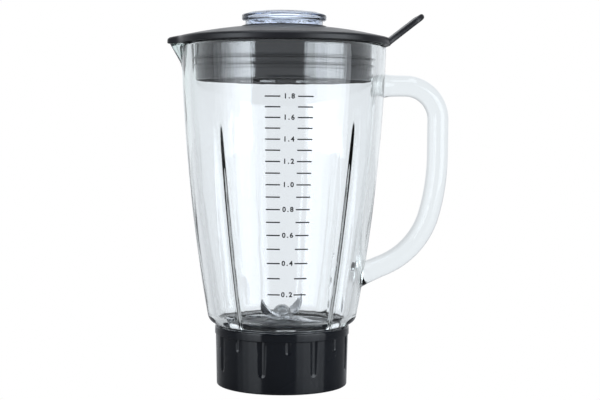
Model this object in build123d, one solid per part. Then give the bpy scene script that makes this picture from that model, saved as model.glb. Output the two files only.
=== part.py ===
"""Glass blender jug with lid, filler cap, screw-on blade unit and threaded collar.

Millimetres.  +Z is up and runs along the jug's axis, with z = 0 on the plane that the
collar stands on.  The volume scale faces -Y, the spout points to -X and the handle to +X.
"""
from build123d import *
from math import cos, hypot, pi, radians, sin, sqrt
import os

# ---------------------------------------------------------------- driving dimensions
# Collar
COLLAR_HEIGHT = 43.7
COLLAR_FOOT_WALL = 2.7
COLLAR_BODY_WALL = 3.5
COLLAR_RIM_WALL = 4.1
COLLAR_RIM_HEIGHT = 6.0
SOCKET_WALL = 4.0
SOCKET_DEPTH = 13.0
EDGE_BREAK = 0.8
LEDGE_THICKNESS = 2.9
LEDGE_OVERLAP = 7.0
FLUTE_COUNT = 8
FLUTE_RADIUS = 4.5
FLUTE_DEPTH = 1.2
FLUTE_FOOT = 14.5
FLUTE_PHASE = -20.0
SHORT_FLUTE_RADIUS = 3.0
SHORT_FLUTE_DEPTH = 0.9
SHORT_FLUTE_FOOT = 30.5

# Glass jug
NECK_RADIUS = 43.0
NECK_WALL = 4.5
SHOULDER_GAP = 1.5
SHOULDER_WIDTH = 10.7
BODY_TOP_RADIUS = 74.7
BODY_BULGE = 4.0
SHOULDER_FILLET = 7.0
WALL_AT_BASE = 6.2
WALL_AT_RIM = 6.4
FLOOR_THICKNESS = 3.5
FLOOR_FALL = 1.0
FLOOR_FILLET = 7.0
JUG_RIM_HEIGHT = 248.7
RIB_COUNT = 4
RIB_RADIUS = 6.5
RIB_PROUD = 5.0
RIB_PROUD_HALFWAY = 3.5
RIB_DROP = 47.0
SPOUT_OVERHANG = 8.3
SPOUT_RADIUS = 13.0
SPOUT_FOOT_RADIUS = 6.5
SPOUT_FOOT_SETBACK = 8.5
SPOUT_DROP = 18.0
SPOUT_WALL = 4.5

# Glass handle: a flattened rod bent round the finger gap; drops are measured from the jug's rim
HANDLE_THICKNESS = 15.4
HANDLE_WIDTH = 20.0
HANDLE_REACH = 114.3
HANDLE_TOP_DROP = 28.6
HANDLE_TOP_BEND = 24.6
HANDLE_STRAIGHT_DROP = 79.0
HANDLE_MIDDLE_REACH = 108.5
HANDLE_MIDDLE_DROP = 122.0
HANDLE_FOOT_REACH = 72.0
HANDLE_FOOT_DROP = 162.0
HANDLE_FOOT_SLOPE = 25.0

# Thread between jug neck and collar: four short ridges on each
THREAD_STARTS = 4
THREAD_LEAD = 24.0
THREAD_ARC = 62.0
RIDGE_HEIGHT = 1.8
RIDGE_ROOT = 2.6
RIDGE_CREST = 1.6
RIDGE_SINK = 0.6
THREAD_RADIAL_GAP = 0.5
THREAD_AXIAL_GAP = 0.25
NECK_THREAD_RISE = 5.0

# Volume scale printed on the front of the glass
SCALE_STEP_LITRES = 0.1
SCALE_TOP_LITRES = 1.8
SCALE_BOTTOM_LITRES = 0.2
TICK_NEAR_ANGLE = 4.7
TICK_FAR_ANGLE = 13.1
TICK_THICKNESS = 0.9
INK_THICKNESS = 0.15

# Lid
LID_OVERHANG = 3.3
LID_EDGE = 4.7
LID_CROWN_HEIGHT = 14.1
LID_SHELL = 2.8
LID_GAP = 0.5
BRIM_WIDTH = 18.0
BEAK_OVERHANG = 7.0
BEAK_RADIUS = 8.0
BEAK_CHEEK_OFFSET = 28.0
BEAK_CHEEK_SETBACK = 3.0
TAB_LENGTH = 44.0
TAB_WIDTH = 34.0
TAB_THICKNESS = 4.8
TAB_ANGLE = 38.0
TAB_INSET = 1.0
TAB_OVERHANG = 24.7
TAB_CORNER = 10.0
TAB_TIP_FILLET = 1.8
PLUG_GAP = 4.0
PLUG_DEPTH = 26.5
PLUG_WALL = 2.5
NOTCH_WIDTH = 28.8
NOTCH_HEIGHT = 2.7
NOTCH_DEPTH = 1.2
SEAL_BAND_HEIGHT = 9.5
SEAL_BAND_TOP = 9.5
SEAL_GROOVE = 1.0
SEAL_PROUD = 0.6
SEAL_LIP_PITCH = 4.9
SEAL_LIP_DROP = 0.8
SEAL_LIP_ROOT = 1.6
SEAL_LIP_TIP = 0.6
SEAL_GAP = 0.3

# Filler cap, standing in the lid's filler tube
CAP_RADIUS = 28.3
CAP_WALL = 2.2
CAP_HEIGHT = 35.0
CAP_RISE = 23.9
CAP_BEAD_PROUD = 2.6
CAP_BEAD_HEIGHT = 4.0
CAP_BEAD_EASE = 0.8
CAP_CROWN_SETBACK = 3.0
CAP_CROWN_HEIGHT = 1.6
CAP_CLEARANCE = 0.6
CAP_SEAL_GAP = 0.3
CAP_SEAL_RADIUS = 0.9
CAP_SEAL_RISE = 5.4
FILLER_WALL = 2.3
FILLER_LEDGE = 3.7
FILLER_LEDGE_HEIGHT = 2.5
FILLER_RIM_HEIGHT = 1.0

# Blade carrier and its bearing
CARRIER_FLANGE = 3.0
CARRIER_WALL = 2.5
CARRIER_PLATE = 3.0
CARRIER_CLEARANCE = 1.2
CARRIER_BOSS_WALL = 3.0
CARRIER_BOSS_DEPTH = 16.0
GASKET_THICKNESS = 2.45
SEAT_GAP = 0.1
GASKET_SEAT_GAP = 0.05
HOUSING_RADIUS = 11.0
HOUSING_HEAD_RADIUS = 13.5
HOUSING_HEAD_HEIGHT = 2.5
HOUSING_HEAD_EDGE = 1.0
HOUSING_NOSE_RADIUS = 9.5
HOUSING_LENGTH = 22.0
HOUSING_NUT_ACROSS = 28.0
HOUSING_NUT_HEIGHT = 4.0
BUSH_RADIUS = 7.5
BUSH_LENGTH = 8.0
SHAFT_SEAL_RADIUS = 6.5
SHAFT_SEAL_HEIGHT = 2.6
SHAFT_SEAL_RECESS = 0.2

# Rotor
SPINDLE_RADIUS = 4.0
SPINDLE_STEP = 1.0
BUSH_CLEARANCE = 0.03
BLADE_HOLE_CLEARANCE = 0.02
WASHER_RADIUS = 8.0
WASHER_THICKNESS = 1.0
BLADE_THICKNESS = 1.5
SPACER_THICKNESS = 1.0
THRUST_GAP = 0.25
LOWER_BLADE_REACH = 36.0
LOWER_BLADE_ROOT_WIDTH = 13.0
LOWER_BLADE_TIP_WIDTH = 4.0
LOWER_BLADE_DROOP = 2.8
LOWER_BLADE_ANGLE = -36.0
UPPER_BLADE_ROOT_WIDTH = 12.0
UPPER_BLADE_TIP_WIDTH = 4.0
UPPER_BLADE_BEND = 15.5
UPPER_BLADE_CURL = 82.0
UPPER_BLADE_ANGLE = 54.0
BLADE_HUB_RADIUS = 9.0
BLADE_TIP_EASE = 1.5
TOOTH_RADIUS = 1.5
TOOTH_PITCH = 3.6
TOOTH_LEAD = 2.9
TOOTH_OUTSET = 0.45
NUT_ACROSS_FLATS = 11.0
NUT_HEIGHT = 5.0
NUT_BORE_DEPTH = 3.0
NUT_DOME_RADIUS = 6.75
NUT_DOME_DROP = 1.4
COUPLING_RADIUS = 13.0
COUPLING_HEIGHT = 10.5
COUPLING_LOBES = 6
COUPLING_LOBE_RADIUS = 3.2
INSERT_ACROSS_FLATS = 13.0
COUPLING_RECESS = 1.0

# ---------------------------------------------------------------- sizes that follow
COLLAR_BORE = NECK_RADIUS + RIDGE_HEIGHT + THREAD_RADIAL_GAP
COLLAR_FOOT_RADIUS = COLLAR_BORE + COLLAR_FOOT_WALL
COLLAR_BODY_RADIUS = COLLAR_BORE + COLLAR_BODY_WALL
COLLAR_RIM_RADIUS = COLLAR_BORE + COLLAR_RIM_WALL
SOCKET_RADIUS = COLLAR_FOOT_RADIUS - SOCKET_WALL
MOUTH_RADIUS = NECK_RADIUS - NECK_WALL
BODY_BASE_RADIUS = NECK_RADIUS + SHOULDER_WIDTH
CARRIER_RADIUS = MOUTH_RADIUS - CARRIER_CLEARANCE
LID_RADIUS = BODY_TOP_RADIUS + LID_OVERHANG
BEAK_REACH = LID_RADIUS + BEAK_OVERHANG
TAB_REACH = LID_RADIUS + TAB_OVERHANG
PLUG_RADIUS = BODY_TOP_RADIUS - WALL_AT_RIM - PLUG_GAP
CAP_BEAD_RADIUS = CAP_RADIUS + CAP_BEAD_PROUD
CAP_CROWN_RADIUS = CAP_RADIUS - CAP_CROWN_SETBACK
FILLER_RADIUS = CAP_RADIUS + CAP_CLEARANCE
FILLER_OUTSIDE = FILLER_RADIUS + FILLER_WALL
SPINDLE_TOP_RADIUS = SPINDLE_RADIUS - SPINDLE_STEP

# ---------------------------------------------------------------- heights that follow
LEDGE_TOP = SOCKET_DEPTH + LEDGE_THICKNESS
FLANGE_BOTTOM = LEDGE_TOP + SEAT_GAP
FLANGE_TOP = FLANGE_BOTTOM + CARRIER_FLANGE
GASKET_TOP = FLANGE_TOP + GASKET_THICKNESS
NECK_BOTTOM = GASKET_TOP + GASKET_SEAT_GAP
SHOULDER = COLLAR_HEIGHT + SHOULDER_GAP
FLOOR = SHOULDER + FLOOR_THICKNESS
FLOOR_EDGE = FLOOR - FLOOR_FALL
RIB_TOP = JUG_RIM_HEIGHT - RIB_DROP
HANDLE_TOP = JUG_RIM_HEIGHT - HANDLE_TOP_DROP
HANDLE_STRAIGHT_END = JUG_RIM_HEIGHT - HANDLE_STRAIGHT_DROP
HANDLE_MIDDLE = (HANDLE_MIDDLE_REACH, JUG_RIM_HEIGHT - HANDLE_MIDDLE_DROP)
HANDLE_FOOT = (HANDLE_FOOT_REACH, JUG_RIM_HEIGHT - HANDLE_FOOT_DROP)
BRIM_BOTTOM = JUG_RIM_HEIGHT + LID_GAP
PLUG_BOTTOM = BRIM_BOTTOM - PLUG_DEPTH
LID_TOP = BRIM_BOTTOM + LID_CROWN_HEIGHT
LID_FALL = (LID_CROWN_HEIGHT - LID_EDGE) / LID_RADIUS ** 2
FILLER_TOP = LID_TOP - LID_FALL * FILLER_OUTSIDE ** 2 + FILLER_RIM_HEIGHT
SEAL_TOP = BRIM_BOTTOM - SEAL_BAND_TOP
SEAL_BOTTOM = SEAL_TOP - SEAL_BAND_HEIGHT
CAP_TOP = JUG_RIM_HEIGHT + CAP_RISE
CAP_BOTTOM = CAP_TOP - CAP_HEIGHT
FILLER_LEDGE_TOP = CAP_BOTTOM - SEAT_GAP
CARRIER_TOP = SHOULDER
BOSS_BOTTOM = CARRIER_TOP - CARRIER_BOSS_DEPTH
HOUSING_TOP = CARRIER_TOP + HOUSING_HEAD_HEIGHT
HOUSING_BOTTOM = HOUSING_TOP - HOUSING_LENGTH
STACK_BOTTOM = HOUSING_TOP + THRUST_GAP
LOWER_BLADE_BOTTOM = STACK_BOTTOM + WASHER_THICKNESS
SPACER_BOTTOM = LOWER_BLADE_BOTTOM + BLADE_THICKNESS
UPPER_BLADE_BOTTOM = SPACER_BOTTOM + SPACER_THICKNESS
LOCK_WASHER_BOTTOM = UPPER_BLADE_BOTTOM + BLADE_THICKNESS
NUT_BOTTOM = LOCK_WASHER_BOTTOM + WASHER_THICKNESS
THRUST_WASHER_TOP = HOUSING_BOTTOM - THRUST_GAP
COUPLING_TOP = THRUST_WASHER_TOP - WASHER_THICKNESS
COUPLING_BOTTOM = COUPLING_TOP - COUPLING_HEIGHT

BASE = (Align.CENTER, Align.CENTER, Align.MIN)
FRONT = 270.0
OVERRUN = 1.0


# ---------------------------------------------------------------- helpers
def rod(radius, bottom, top):
    """A plain cylinder on the jug's axis."""
    return Pos(0, 0, bottom) * Cylinder(radius, top - bottom, align=BASE)


def ring(inner_radius, outer_radius, bottom, top):
    """A plain ring about the jug's axis."""
    return rod(outer_radius, bottom, top) - rod(inner_radius, bottom, top)


def turned(points):
    """A solid of revolution from the corners (radius, height) of its half section."""
    return revolve(Plane.XZ * make_face(Polyline(*points, close=True)), Axis.Z)


def hexagon(across_flats, bottom, top):
    """A hexagonal prism on the jug's axis."""
    face = RegularPolygon(across_flats / 2, 6, major_radius=False)
    return Pos(0, 0, bottom) * extrude(face, top - bottom)


def around(count, phase=0.0):
    """Locations spaced evenly about the jug's axis."""
    return [Rot(0, 0, phase + 360.0 * i / count) for i in range(count)]


class WallArc:
    """The side of the jug as one circular arc, bulging outward from its chord."""

    def __init__(self, low_radius, low, high_radius, high, bulge):
        chord = hypot(high_radius - low_radius, high - low)
        self.arc_radius = (chord ** 2 / 4 + bulge ** 2) / (2 * bulge)
        out = (self.arc_radius - bulge) / chord
        self.centre_radius = (low_radius + high_radius) / 2 - out * (high - low)
        self.centre_height = (low + high) / 2 + out * (high_radius - low_radius)
        self.low = low
        self.high = high

    def radius(self, height):
        """Radius of the side at a height."""
        offset = height - self.centre_height
        return self.centre_radius + sqrt(self.arc_radius ** 2 - offset ** 2)

    def edge(self):
        """The side as an edge of a half section."""
        middle = (self.low + self.high) / 2
        points = [(self.radius(z), z) for z in (self.low, middle, self.high)]
        return ThreePointArc(*points)


OUTSIDE = WallArc(BODY_BASE_RADIUS, SHOULDER, BODY_TOP_RADIUS, JUG_RIM_HEIGHT, BODY_BULGE)
INSIDE = WallArc(
    OUTSIDE.radius(FLOOR) - WALL_AT_BASE,
    FLOOR,
    BODY_TOP_RADIUS - WALL_AT_RIM,
    JUG_RIM_HEIGHT,
    BODY_BULGE,
)


# ---------------------------------------------------------------- glass jug
def glass_body(skin=0.0):
    """The jug's outside without its neck, spout or cavity, grown outward by a skin."""
    low = OUTSIDE.radius(SHOULDER)
    high = OUTSIDE.radius(JUG_RIM_HEIGHT)
    side = Pos(skin, 0) * OUTSIDE.edge()
    section = make_face(
        Line((0, SHOULDER), (low + skin, SHOULDER))
        + side
        + Line((high + skin, JUG_RIM_HEIGHT), (0, JUG_RIM_HEIGHT))
        + Line((0, JUG_RIM_HEIGHT), (0, SHOULDER))
    )
    corner = section.vertices().sort_by(Axis.Y)[:2].sort_by(Axis.X)[-1]
    return revolve(Plane.XZ * fillet(corner, SHOULDER_FILLET), Axis.Z)


def jug_cavity():
    """The space inside the glass: neck, sloping floor and curved side, less the ribs."""
    base = INSIDE.radius(FLOOR)
    section = make_face(
        Polyline((0, NECK_BOTTOM), (MOUTH_RADIUS, NECK_BOTTOM), (MOUTH_RADIUS, FLOOR_EDGE), (base, FLOOR))
        + INSIDE.edge()
        + Polyline((INSIDE.radius(JUG_RIM_HEIGHT), JUG_RIM_HEIGHT), (0, JUG_RIM_HEIGHT), (0, NECK_BOTTOM))
    )
    corner = section.vertices().sort_by_distance((base, FLOOR, 0))[0]
    cavity = revolve(Plane.XZ * fillet(corner, FLOOR_FILLET), Axis.Z)
    for turn in around(RIB_COUNT, 45.0):
        cavity -= turn * rib()
    return cavity


def rib():
    """A round bar along the inside of the wall that sinks into the glass at its top."""
    low = SHOULDER
    middle = (low + RIB_TOP) / 2
    start = (INSIDE.radius(low) - RIB_PROUD + RIB_RADIUS, low)
    halfway = (INSIDE.radius(middle) - RIB_PROUD_HALFWAY + RIB_RADIUS, middle)
    end = (INSIDE.radius(RIB_TOP) + RIB_RADIUS, RIB_TOP)
    path = Plane.XZ * ThreePointArc(start, halfway, end)
    section = Plane(path @ 0, z_dir=path % 0) * Circle(RIB_RADIUS)
    return sweep(section, path=path)


def spout(inset, top):
    """An oblique cone that leans out over the rim towards -X, drawn in by an inset."""
    foot_centre = BODY_TOP_RADIUS - SPOUT_FOOT_SETBACK
    head_centre = BODY_TOP_RADIUS + SPOUT_OVERHANG - SPOUT_RADIUS
    share = (top - JUG_RIM_HEIGHT + SPOUT_DROP) / SPOUT_DROP
    centre = foot_centre + (head_centre - foot_centre) * share
    radius = SPOUT_FOOT_RADIUS + (SPOUT_RADIUS - SPOUT_FOOT_RADIUS) * share
    small = Pos(-foot_centre, 0, JUG_RIM_HEIGHT - SPOUT_DROP) * Circle(SPOUT_FOOT_RADIUS - inset)
    large = Pos(-centre, 0, top) * Circle(radius - inset)
    return loft([small, large])


def glass_jug():
    """The jug: body, threaded neck, pouring spout and four inner ribs in one glass."""
    outside = glass_body() + rod(NECK_RADIUS, NECK_BOTTOM, SHOULDER + OVERRUN)
    outside += spout(0.0, JUG_RIM_HEIGHT)
    jug = outside - jug_cavity() - spout(SPOUT_WALL, JUG_RIM_HEIGHT + OVERRUN)
    for turn in around(THREAD_STARTS):
        jug += turn * thread_ridge(NECK_RADIUS, 1.0, NECK_BOTTOM + NECK_THREAD_RISE)
    return jug


def handle_path():
    """Centre line of the handle in the XZ plane, from the top boss to the foot."""
    bend_start = (HANDLE_REACH - HANDLE_TOP_BEND, HANDLE_TOP)
    bend_end = (HANDLE_REACH, HANDLE_TOP - HANDLE_TOP_BEND)
    slope = radians(HANDLE_FOOT_SLOPE)
    inside = HANDLE_FOOT[0] - OUTSIDE.radius(HANDLE_FOOT[1]) + HANDLE_THICKNESS / 2
    end = (HANDLE_FOOT[0] - inside * cos(slope), HANDLE_FOOT[1] - inside * sin(slope))
    top = Line((OUTSIDE.radius(HANDLE_TOP) - WALL_AT_RIM, HANDLE_TOP), bend_start)
    bend = TangentArc(bend_start, bend_end, tangent=(1, 0))
    side = Line(bend_end, (HANDLE_REACH, HANDLE_STRAIGHT_END))
    sweep_in = TangentArc((HANDLE_REACH, HANDLE_STRAIGHT_END), HANDLE_MIDDLE, tangent=(0, -1))
    lower = TangentArc(HANDLE_MIDDLE, HANDLE_FOOT, tangent=sweep_in % 1)
    return Plane.XZ * Wire([top.edge(), bend.edge(), side.edge(), sweep_in.edge(), lower.edge(),
                            Line(HANDLE_FOOT, end).edge()])


def glass_handle():
    """The handle: an oval glass rod, ending on the jug's outside."""
    path = handle_path()
    section = Plane(path @ 0, x_dir=(0, 1, 0), z_dir=path % 0)
    section = section * Ellipse(HANDLE_WIDTH / 2, HANDLE_THICKNESS / 2)
    return sweep(section, path=path) - glass_body()


# ---------------------------------------------------------------- thread
def thread_ridge(root_radius, side, base):
    """One helical ridge; side is 1 for a ridge on a shaft and -1 for one in a bore."""
    rise = THREAD_LEAD * THREAD_ARC / 360.0
    path = Helix(THREAD_LEAD, rise, root_radius, center=(0, 0, base))
    sunk = root_radius - side * RIDGE_SINK
    crest = root_radius + side * RIDGE_HEIGHT
    half_root = RIDGE_ROOT / 2
    half_crest = RIDGE_CREST / 2
    corners = [
        (sunk, base - half_root),
        (root_radius, base - half_root),
        (crest, base - half_crest),
        (crest, base + half_crest),
        (root_radius, base + half_root),
        (sunk, base + half_root),
    ]
    section = Plane.XZ * make_face(Polyline(*corners, close=True))
    return sweep(section, path=path, is_frenet=True)


# ---------------------------------------------------------------- volume scale
def scale_heights():
    """Height of each mark: where the cavity above the floor holds that many litres."""
    step = 0.25
    height = FLOOR_EDGE
    litres = pi * MOUTH_RADIUS ** 2 * (FLOOR_EDGE - CARRIER_TOP) * 1e-6
    target = SCALE_BOTTOM_LITRES
    marks = []
    while target < SCALE_TOP_LITRES + SCALE_STEP_LITRES / 2:
        height += step
        fillet_part = max(0.0, FLOOR + FLOOR_FILLET - height)
        corner_loss = FLOOR_FILLET - sqrt(max(0.0, FLOOR_FILLET ** 2 - fillet_part ** 2))
        radius = INSIDE.radius(max(height, FLOOR)) - corner_loss
        litres += (pi * radius ** 2 - RIB_COUNT * rib_section(height)) * step * 1e-6
        if litres >= target:
            marks.append(height)
            target += SCALE_STEP_LITRES
    return marks


def rib_section(height):
    """Area that one rib takes from the cavity, as a circular segment."""
    sunk = RIB_RADIUS - RIB_PROUD * (RIB_TOP - height) / (RIB_TOP - SHOULDER)
    if sunk >= RIB_RADIUS:
        return 0.0
    half_chord = sqrt(RIB_RADIUS ** 2 - sunk ** 2)
    return 4.0 / 3.0 * half_chord * (RIB_RADIUS - sunk)


def volume_scale():
    """Two rows of printed ticks, each tick a thin curved patch on the glass."""
    ink = glass_body(INK_THICKNESS) - glass_body()
    ticks = []
    for height in scale_heights():
        radius = OUTSIDE.radius(height)
        near = radius * sin(radians(TICK_NEAR_ANGLE))
        far = radius * sin(radians(TICK_FAR_ANGLE))
        for side in (-1, 1):
            bar = Box(far - near, BODY_TOP_RADIUS, TICK_THICKNESS)
            bar = Pos(side * (near + far) / 2, -radius, height) * bar
            ticks.append(bar)
    return Compound([tick for bar in ticks for tick in (ink & bar).solids()])


# ---------------------------------------------------------------- lid
def lid_dome(drop=0.0):
    """The lid's crowned outside, continued past the brim so that the beak can follow it."""
    overrun = BEAK_OVERHANG * 2
    far = LID_RADIUS + overrun
    points = [(r, LID_TOP - drop - LID_FALL * r ** 2) for r in (0, far / 2, far)]
    section = make_face(
        ThreePointArc(*points)
        + Polyline(points[-1], (far, BRIM_BOTTOM - overrun), (0, BRIM_BOTTOM - overrun), points[0])
    )
    return revolve(Plane.XZ * section, Axis.Z)


def lid_outline():
    """Plan of the lid: a circle drawn out to a rounded beak over the spout."""
    tip = Pos(BEAK_RADIUS - BEAK_REACH, 0) * Circle(BEAK_RADIUS)
    cheek = Pos(-BEAK_CHEEK_OFFSET, 0) * Circle(LID_RADIUS - BEAK_CHEEK_OFFSET - BEAK_CHEEK_SETBACK)
    return Circle(LID_RADIUS) + make_hull(tip.edges() + cheek.edges())


def lid_tab():
    """The lift tab: a flat tongue rising outward from the brim at the handle's side."""
    tongue = extrude(RectangleRounded(TAB_LENGTH, TAB_WIDTH, TAB_CORNER), TAB_THICKNESS)
    tongue = fillet(tongue.faces().sort_by(Axis.Z)[-1].edges(), TAB_TIP_FILLET)
    tilt = radians(TAB_ANGLE)
    middle_x = TAB_REACH - TAB_LENGTH / 2 * cos(tilt)
    middle_z = BRIM_BOTTOM + (middle_x - LID_RADIUS + TAB_INSET) * sin(tilt) / cos(tilt)
    tab = Pos(middle_x, 0, middle_z) * Rot(0, -TAB_ANGLE, 0) * tongue
    keep = Pos(LID_RADIUS, 0, BRIM_BOTTOM) * Box(LID_RADIUS, LID_RADIUS, LID_RADIUS, align=BASE)
    return tab & keep


def lid_cover():
    """The lid's top shell with its brim, beak, lift tab and filler tube."""
    plate = Pos(0, 0, BRIM_BOTTOM) * extrude(lid_outline(), LID_CROWN_HEIGHT)
    cover = plate & lid_dome()
    hollow = rod(LID_RADIUS - BRIM_WIDTH, BRIM_BOTTOM - OVERRUN, LID_TOP) & lid_dome(LID_SHELL)
    cover -= hollow
    cover += lid_tab()
    tube_bottom = FILLER_LEDGE_TOP - FILLER_LEDGE_HEIGHT
    cover += rod(FILLER_OUTSIDE, tube_bottom, FILLER_TOP)
    cover -= rod(FILLER_RADIUS, FILLER_LEDGE_TOP, LID_TOP + OVERRUN)
    cover -= rod(FILLER_RADIUS - FILLER_LEDGE, tube_bottom - OVERRUN, LID_TOP)
    return cover


def lid_plug():
    """The tray under the lid that stands in the jug's mouth and carries the seal."""
    inner = PLUG_RADIUS - PLUG_WALL
    hole = FILLER_OUTSIDE + SEAL_GAP
    floor = PLUG_BOTTOM + PLUG_WALL
    groove = PLUG_RADIUS - SEAL_GROOVE
    plug = turned([
        (hole, PLUG_BOTTOM), (PLUG_RADIUS, PLUG_BOTTOM), (PLUG_RADIUS, SEAL_BOTTOM),
        (groove, SEAL_BOTTOM), (groove, SEAL_TOP), (PLUG_RADIUS, SEAL_TOP),
        (PLUG_RADIUS, BRIM_BOTTOM), (inner, BRIM_BOTTOM), (inner, floor),
        (hole + PLUG_WALL, floor), (hole + PLUG_WALL, CAP_BOTTOM), (hole, CAP_BOTTOM),
    ])
    notch = Box(NOTCH_WIDTH, NOTCH_DEPTH * 2, NOTCH_HEIGHT + OVERRUN, align=BASE)
    return plug - Pos(0, -PLUG_RADIUS, PLUG_BOTTOM - OVERRUN) * notch


def lid_seal():
    """The rubber band round the plug, with two thin lips that reach for the glass."""
    root = PLUG_RADIUS - SEAL_GROOVE
    seal = ring(root, PLUG_RADIUS + SEAL_PROUD, SEAL_BOTTOM, SEAL_TOP)
    for lip in range(2):
        top = SEAL_TOP - SEAL_LIP_DROP - SEAL_LIP_PITCH * lip
        tip = top - SEAL_LIP_TIP
        reach = INSIDE.radius(tip - SEAL_LIP_TIP) - SEAL_GAP
        seal += turned([(root, top - SEAL_LIP_ROOT), (reach, tip - SEAL_LIP_TIP), (reach, tip), (root, top)])
    return seal


# ---------------------------------------------------------------- filler cap
def measuring_cap():
    """The clear cup that stands upside down in the lid's filler tube."""
    bore = CAP_RADIUS - CAP_WALL
    bead_top = CAP_TOP - CAP_CROWN_HEIGHT
    bead_bottom = bead_top - CAP_BEAD_HEIGHT
    bead_middle = (bead_top + bead_bottom) / 2
    bead_edge = CAP_BEAD_RADIUS - CAP_BEAD_EASE
    roof = CAP_TOP - CAP_WALL
    outline = (
        Line((bore, CAP_BOTTOM), (CAP_RADIUS, CAP_BOTTOM))
        + Line((CAP_RADIUS, CAP_BOTTOM), (CAP_RADIUS, bead_bottom - CAP_BEAD_EASE))
        + Line((CAP_RADIUS, bead_bottom - CAP_BEAD_EASE), (bead_edge, bead_bottom))
        + ThreePointArc((bead_edge, bead_bottom), (CAP_BEAD_RADIUS, bead_middle), (bead_edge, bead_top))
        + Line((bead_edge, bead_top), (CAP_CROWN_RADIUS, CAP_TOP))
        + Line((CAP_CROWN_RADIUS, CAP_TOP), (0, CAP_TOP))
        + Line((0, CAP_TOP), (0, roof))
        + Line((0, roof), (CAP_CROWN_RADIUS, roof))
        + Line((CAP_CROWN_RADIUS, roof), (bore, bead_bottom))
        + Line((bore, bead_bottom), (bore, CAP_BOTTOM))
    )
    return revolve(Plane.XZ * make_face(outline), Axis.Z) - cap_seal()


def cap_seal():
    """The ring seal, a round cord that lies half in the cap's wall."""
    centre = FILLER_RADIUS - CAP_SEAL_GAP - CAP_SEAL_RADIUS
    return Pos(0, 0, CAP_BOTTOM + CAP_SEAL_RISE) * Torus(centre, CAP_SEAL_RADIUS)


# ---------------------------------------------------------------- collar
def collar_ring():
    """The fluted collar: socket below, ledge for the blade carrier, thread above."""
    rim_bottom = COLLAR_HEIGHT - COLLAR_RIM_HEIGHT
    edge = EDGE_BREAK
    collar = turned([
        (SOCKET_RADIUS, 0), (COLLAR_FOOT_RADIUS - edge, 0), (COLLAR_FOOT_RADIUS, edge),
        (COLLAR_BODY_RADIUS, rim_bottom - edge), (COLLAR_RIM_RADIUS, rim_bottom),
        (COLLAR_RIM_RADIUS, COLLAR_HEIGHT - edge), (COLLAR_RIM_RADIUS - edge, COLLAR_HEIGHT),
        (COLLAR_BORE, COLLAR_HEIGHT), (COLLAR_BORE, LEDGE_TOP),
        (SOCKET_RADIUS - LEDGE_OVERLAP, LEDGE_TOP), (SOCKET_RADIUS - LEDGE_OVERLAP, SOCKET_DEPTH),
        (SOCKET_RADIUS, SOCKET_DEPTH),
    ])
    spacing = 360.0 / FLUTE_COUNT
    long_flute = flute(FLUTE_RADIUS, FLUTE_DEPTH, FLUTE_FOOT, rim_bottom)
    short_flute = flute(SHORT_FLUTE_RADIUS, SHORT_FLUTE_DEPTH, SHORT_FLUTE_FOOT, rim_bottom)
    for turn in around(FLUTE_COUNT, FRONT + FLUTE_PHASE):
        collar -= turn * long_flute
    for turn in around(FLUTE_COUNT, FRONT + FLUTE_PHASE + spacing / 2):
        collar -= turn * short_flute
    lift = RIDGE_ROOT / 2 + RIDGE_CREST / 2 + THREAD_AXIAL_GAP
    lift += (RIDGE_ROOT - RIDGE_CREST) / 2
    base = NECK_BOTTOM + NECK_THREAD_RISE + lift
    for turn in around(THREAD_STARTS):
        collar += turn * thread_ridge(COLLAR_BORE, -1.0, base)
    return collar


def flute(radius, depth, foot, top):
    """A round-ended upright groove cutter, at +X."""
    centre = COLLAR_BODY_RADIUS - depth + radius
    cutter = Pos(centre, 0, foot) * Cylinder(radius, top - foot, align=BASE)
    return cutter + Pos(centre, 0, foot) * Sphere(radius)


# ---------------------------------------------------------------- blade unit
def blade_carrier():
    """The moulding that closes the jug's mouth and holds the bearing."""
    inner = CARRIER_RADIUS - CARRIER_WALL
    plate = CARRIER_TOP - CARRIER_PLATE
    boss = HOUSING_RADIUS + CARRIER_BOSS_WALL
    return turned([
        (inner, FLANGE_BOTTOM), (NECK_RADIUS, FLANGE_BOTTOM), (NECK_RADIUS, FLANGE_TOP),
        (CARRIER_RADIUS, FLANGE_TOP), (CARRIER_RADIUS, CARRIER_TOP - EDGE_BREAK),
        (CARRIER_RADIUS - EDGE_BREAK, CARRIER_TOP), (HOUSING_RADIUS, CARRIER_TOP),
        (HOUSING_RADIUS, BOSS_BOTTOM), (boss, BOSS_BOTTOM), (boss, plate), (inner, plate),
    ])


def carrier_gasket():
    """The flat silicone ring between the carrier's flange and the glass neck."""
    return ring(CARRIER_RADIUS + SEAT_GAP, NECK_RADIUS - SEAL_GAP, FLANGE_TOP, GASKET_TOP)


def bearing_housing():
    """The steel sleeve through the carrier, with a coned head above its plate."""
    bore = BUSH_RADIUS
    seal_floor = HOUSING_TOP - SHAFT_SEAL_HEIGHT
    head = HOUSING_HEAD_RADIUS
    return turned([
        (bore, HOUSING_BOTTOM), (HOUSING_RADIUS, HOUSING_BOTTOM), (HOUSING_RADIUS, CARRIER_TOP),
        (head, CARRIER_TOP), (head, CARRIER_TOP + HOUSING_HEAD_EDGE), (HOUSING_NOSE_RADIUS, HOUSING_TOP),
        (SHAFT_SEAL_RADIUS, HOUSING_TOP), (SHAFT_SEAL_RADIUS, seal_floor), (bore, seal_floor),
    ])


def housing_nut():
    """The hexagonal nut that clamps the bearing housing from below."""
    bottom = BOSS_BOTTOM - HOUSING_NUT_HEIGHT
    return hexagon(HOUSING_NUT_ACROSS, bottom, BOSS_BOTTOM) - rod(HOUSING_RADIUS, bottom, BOSS_BOTTOM)


def bush(bottom):
    """A sintered bearing bush for the spindle."""
    return ring(SPINDLE_RADIUS + BUSH_CLEARANCE, BUSH_RADIUS, bottom, bottom + BUSH_LENGTH)


def upper_bush():
    """The bush just below the shaft seal."""
    return bush(HOUSING_TOP - SHAFT_SEAL_HEIGHT - BUSH_LENGTH)


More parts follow.
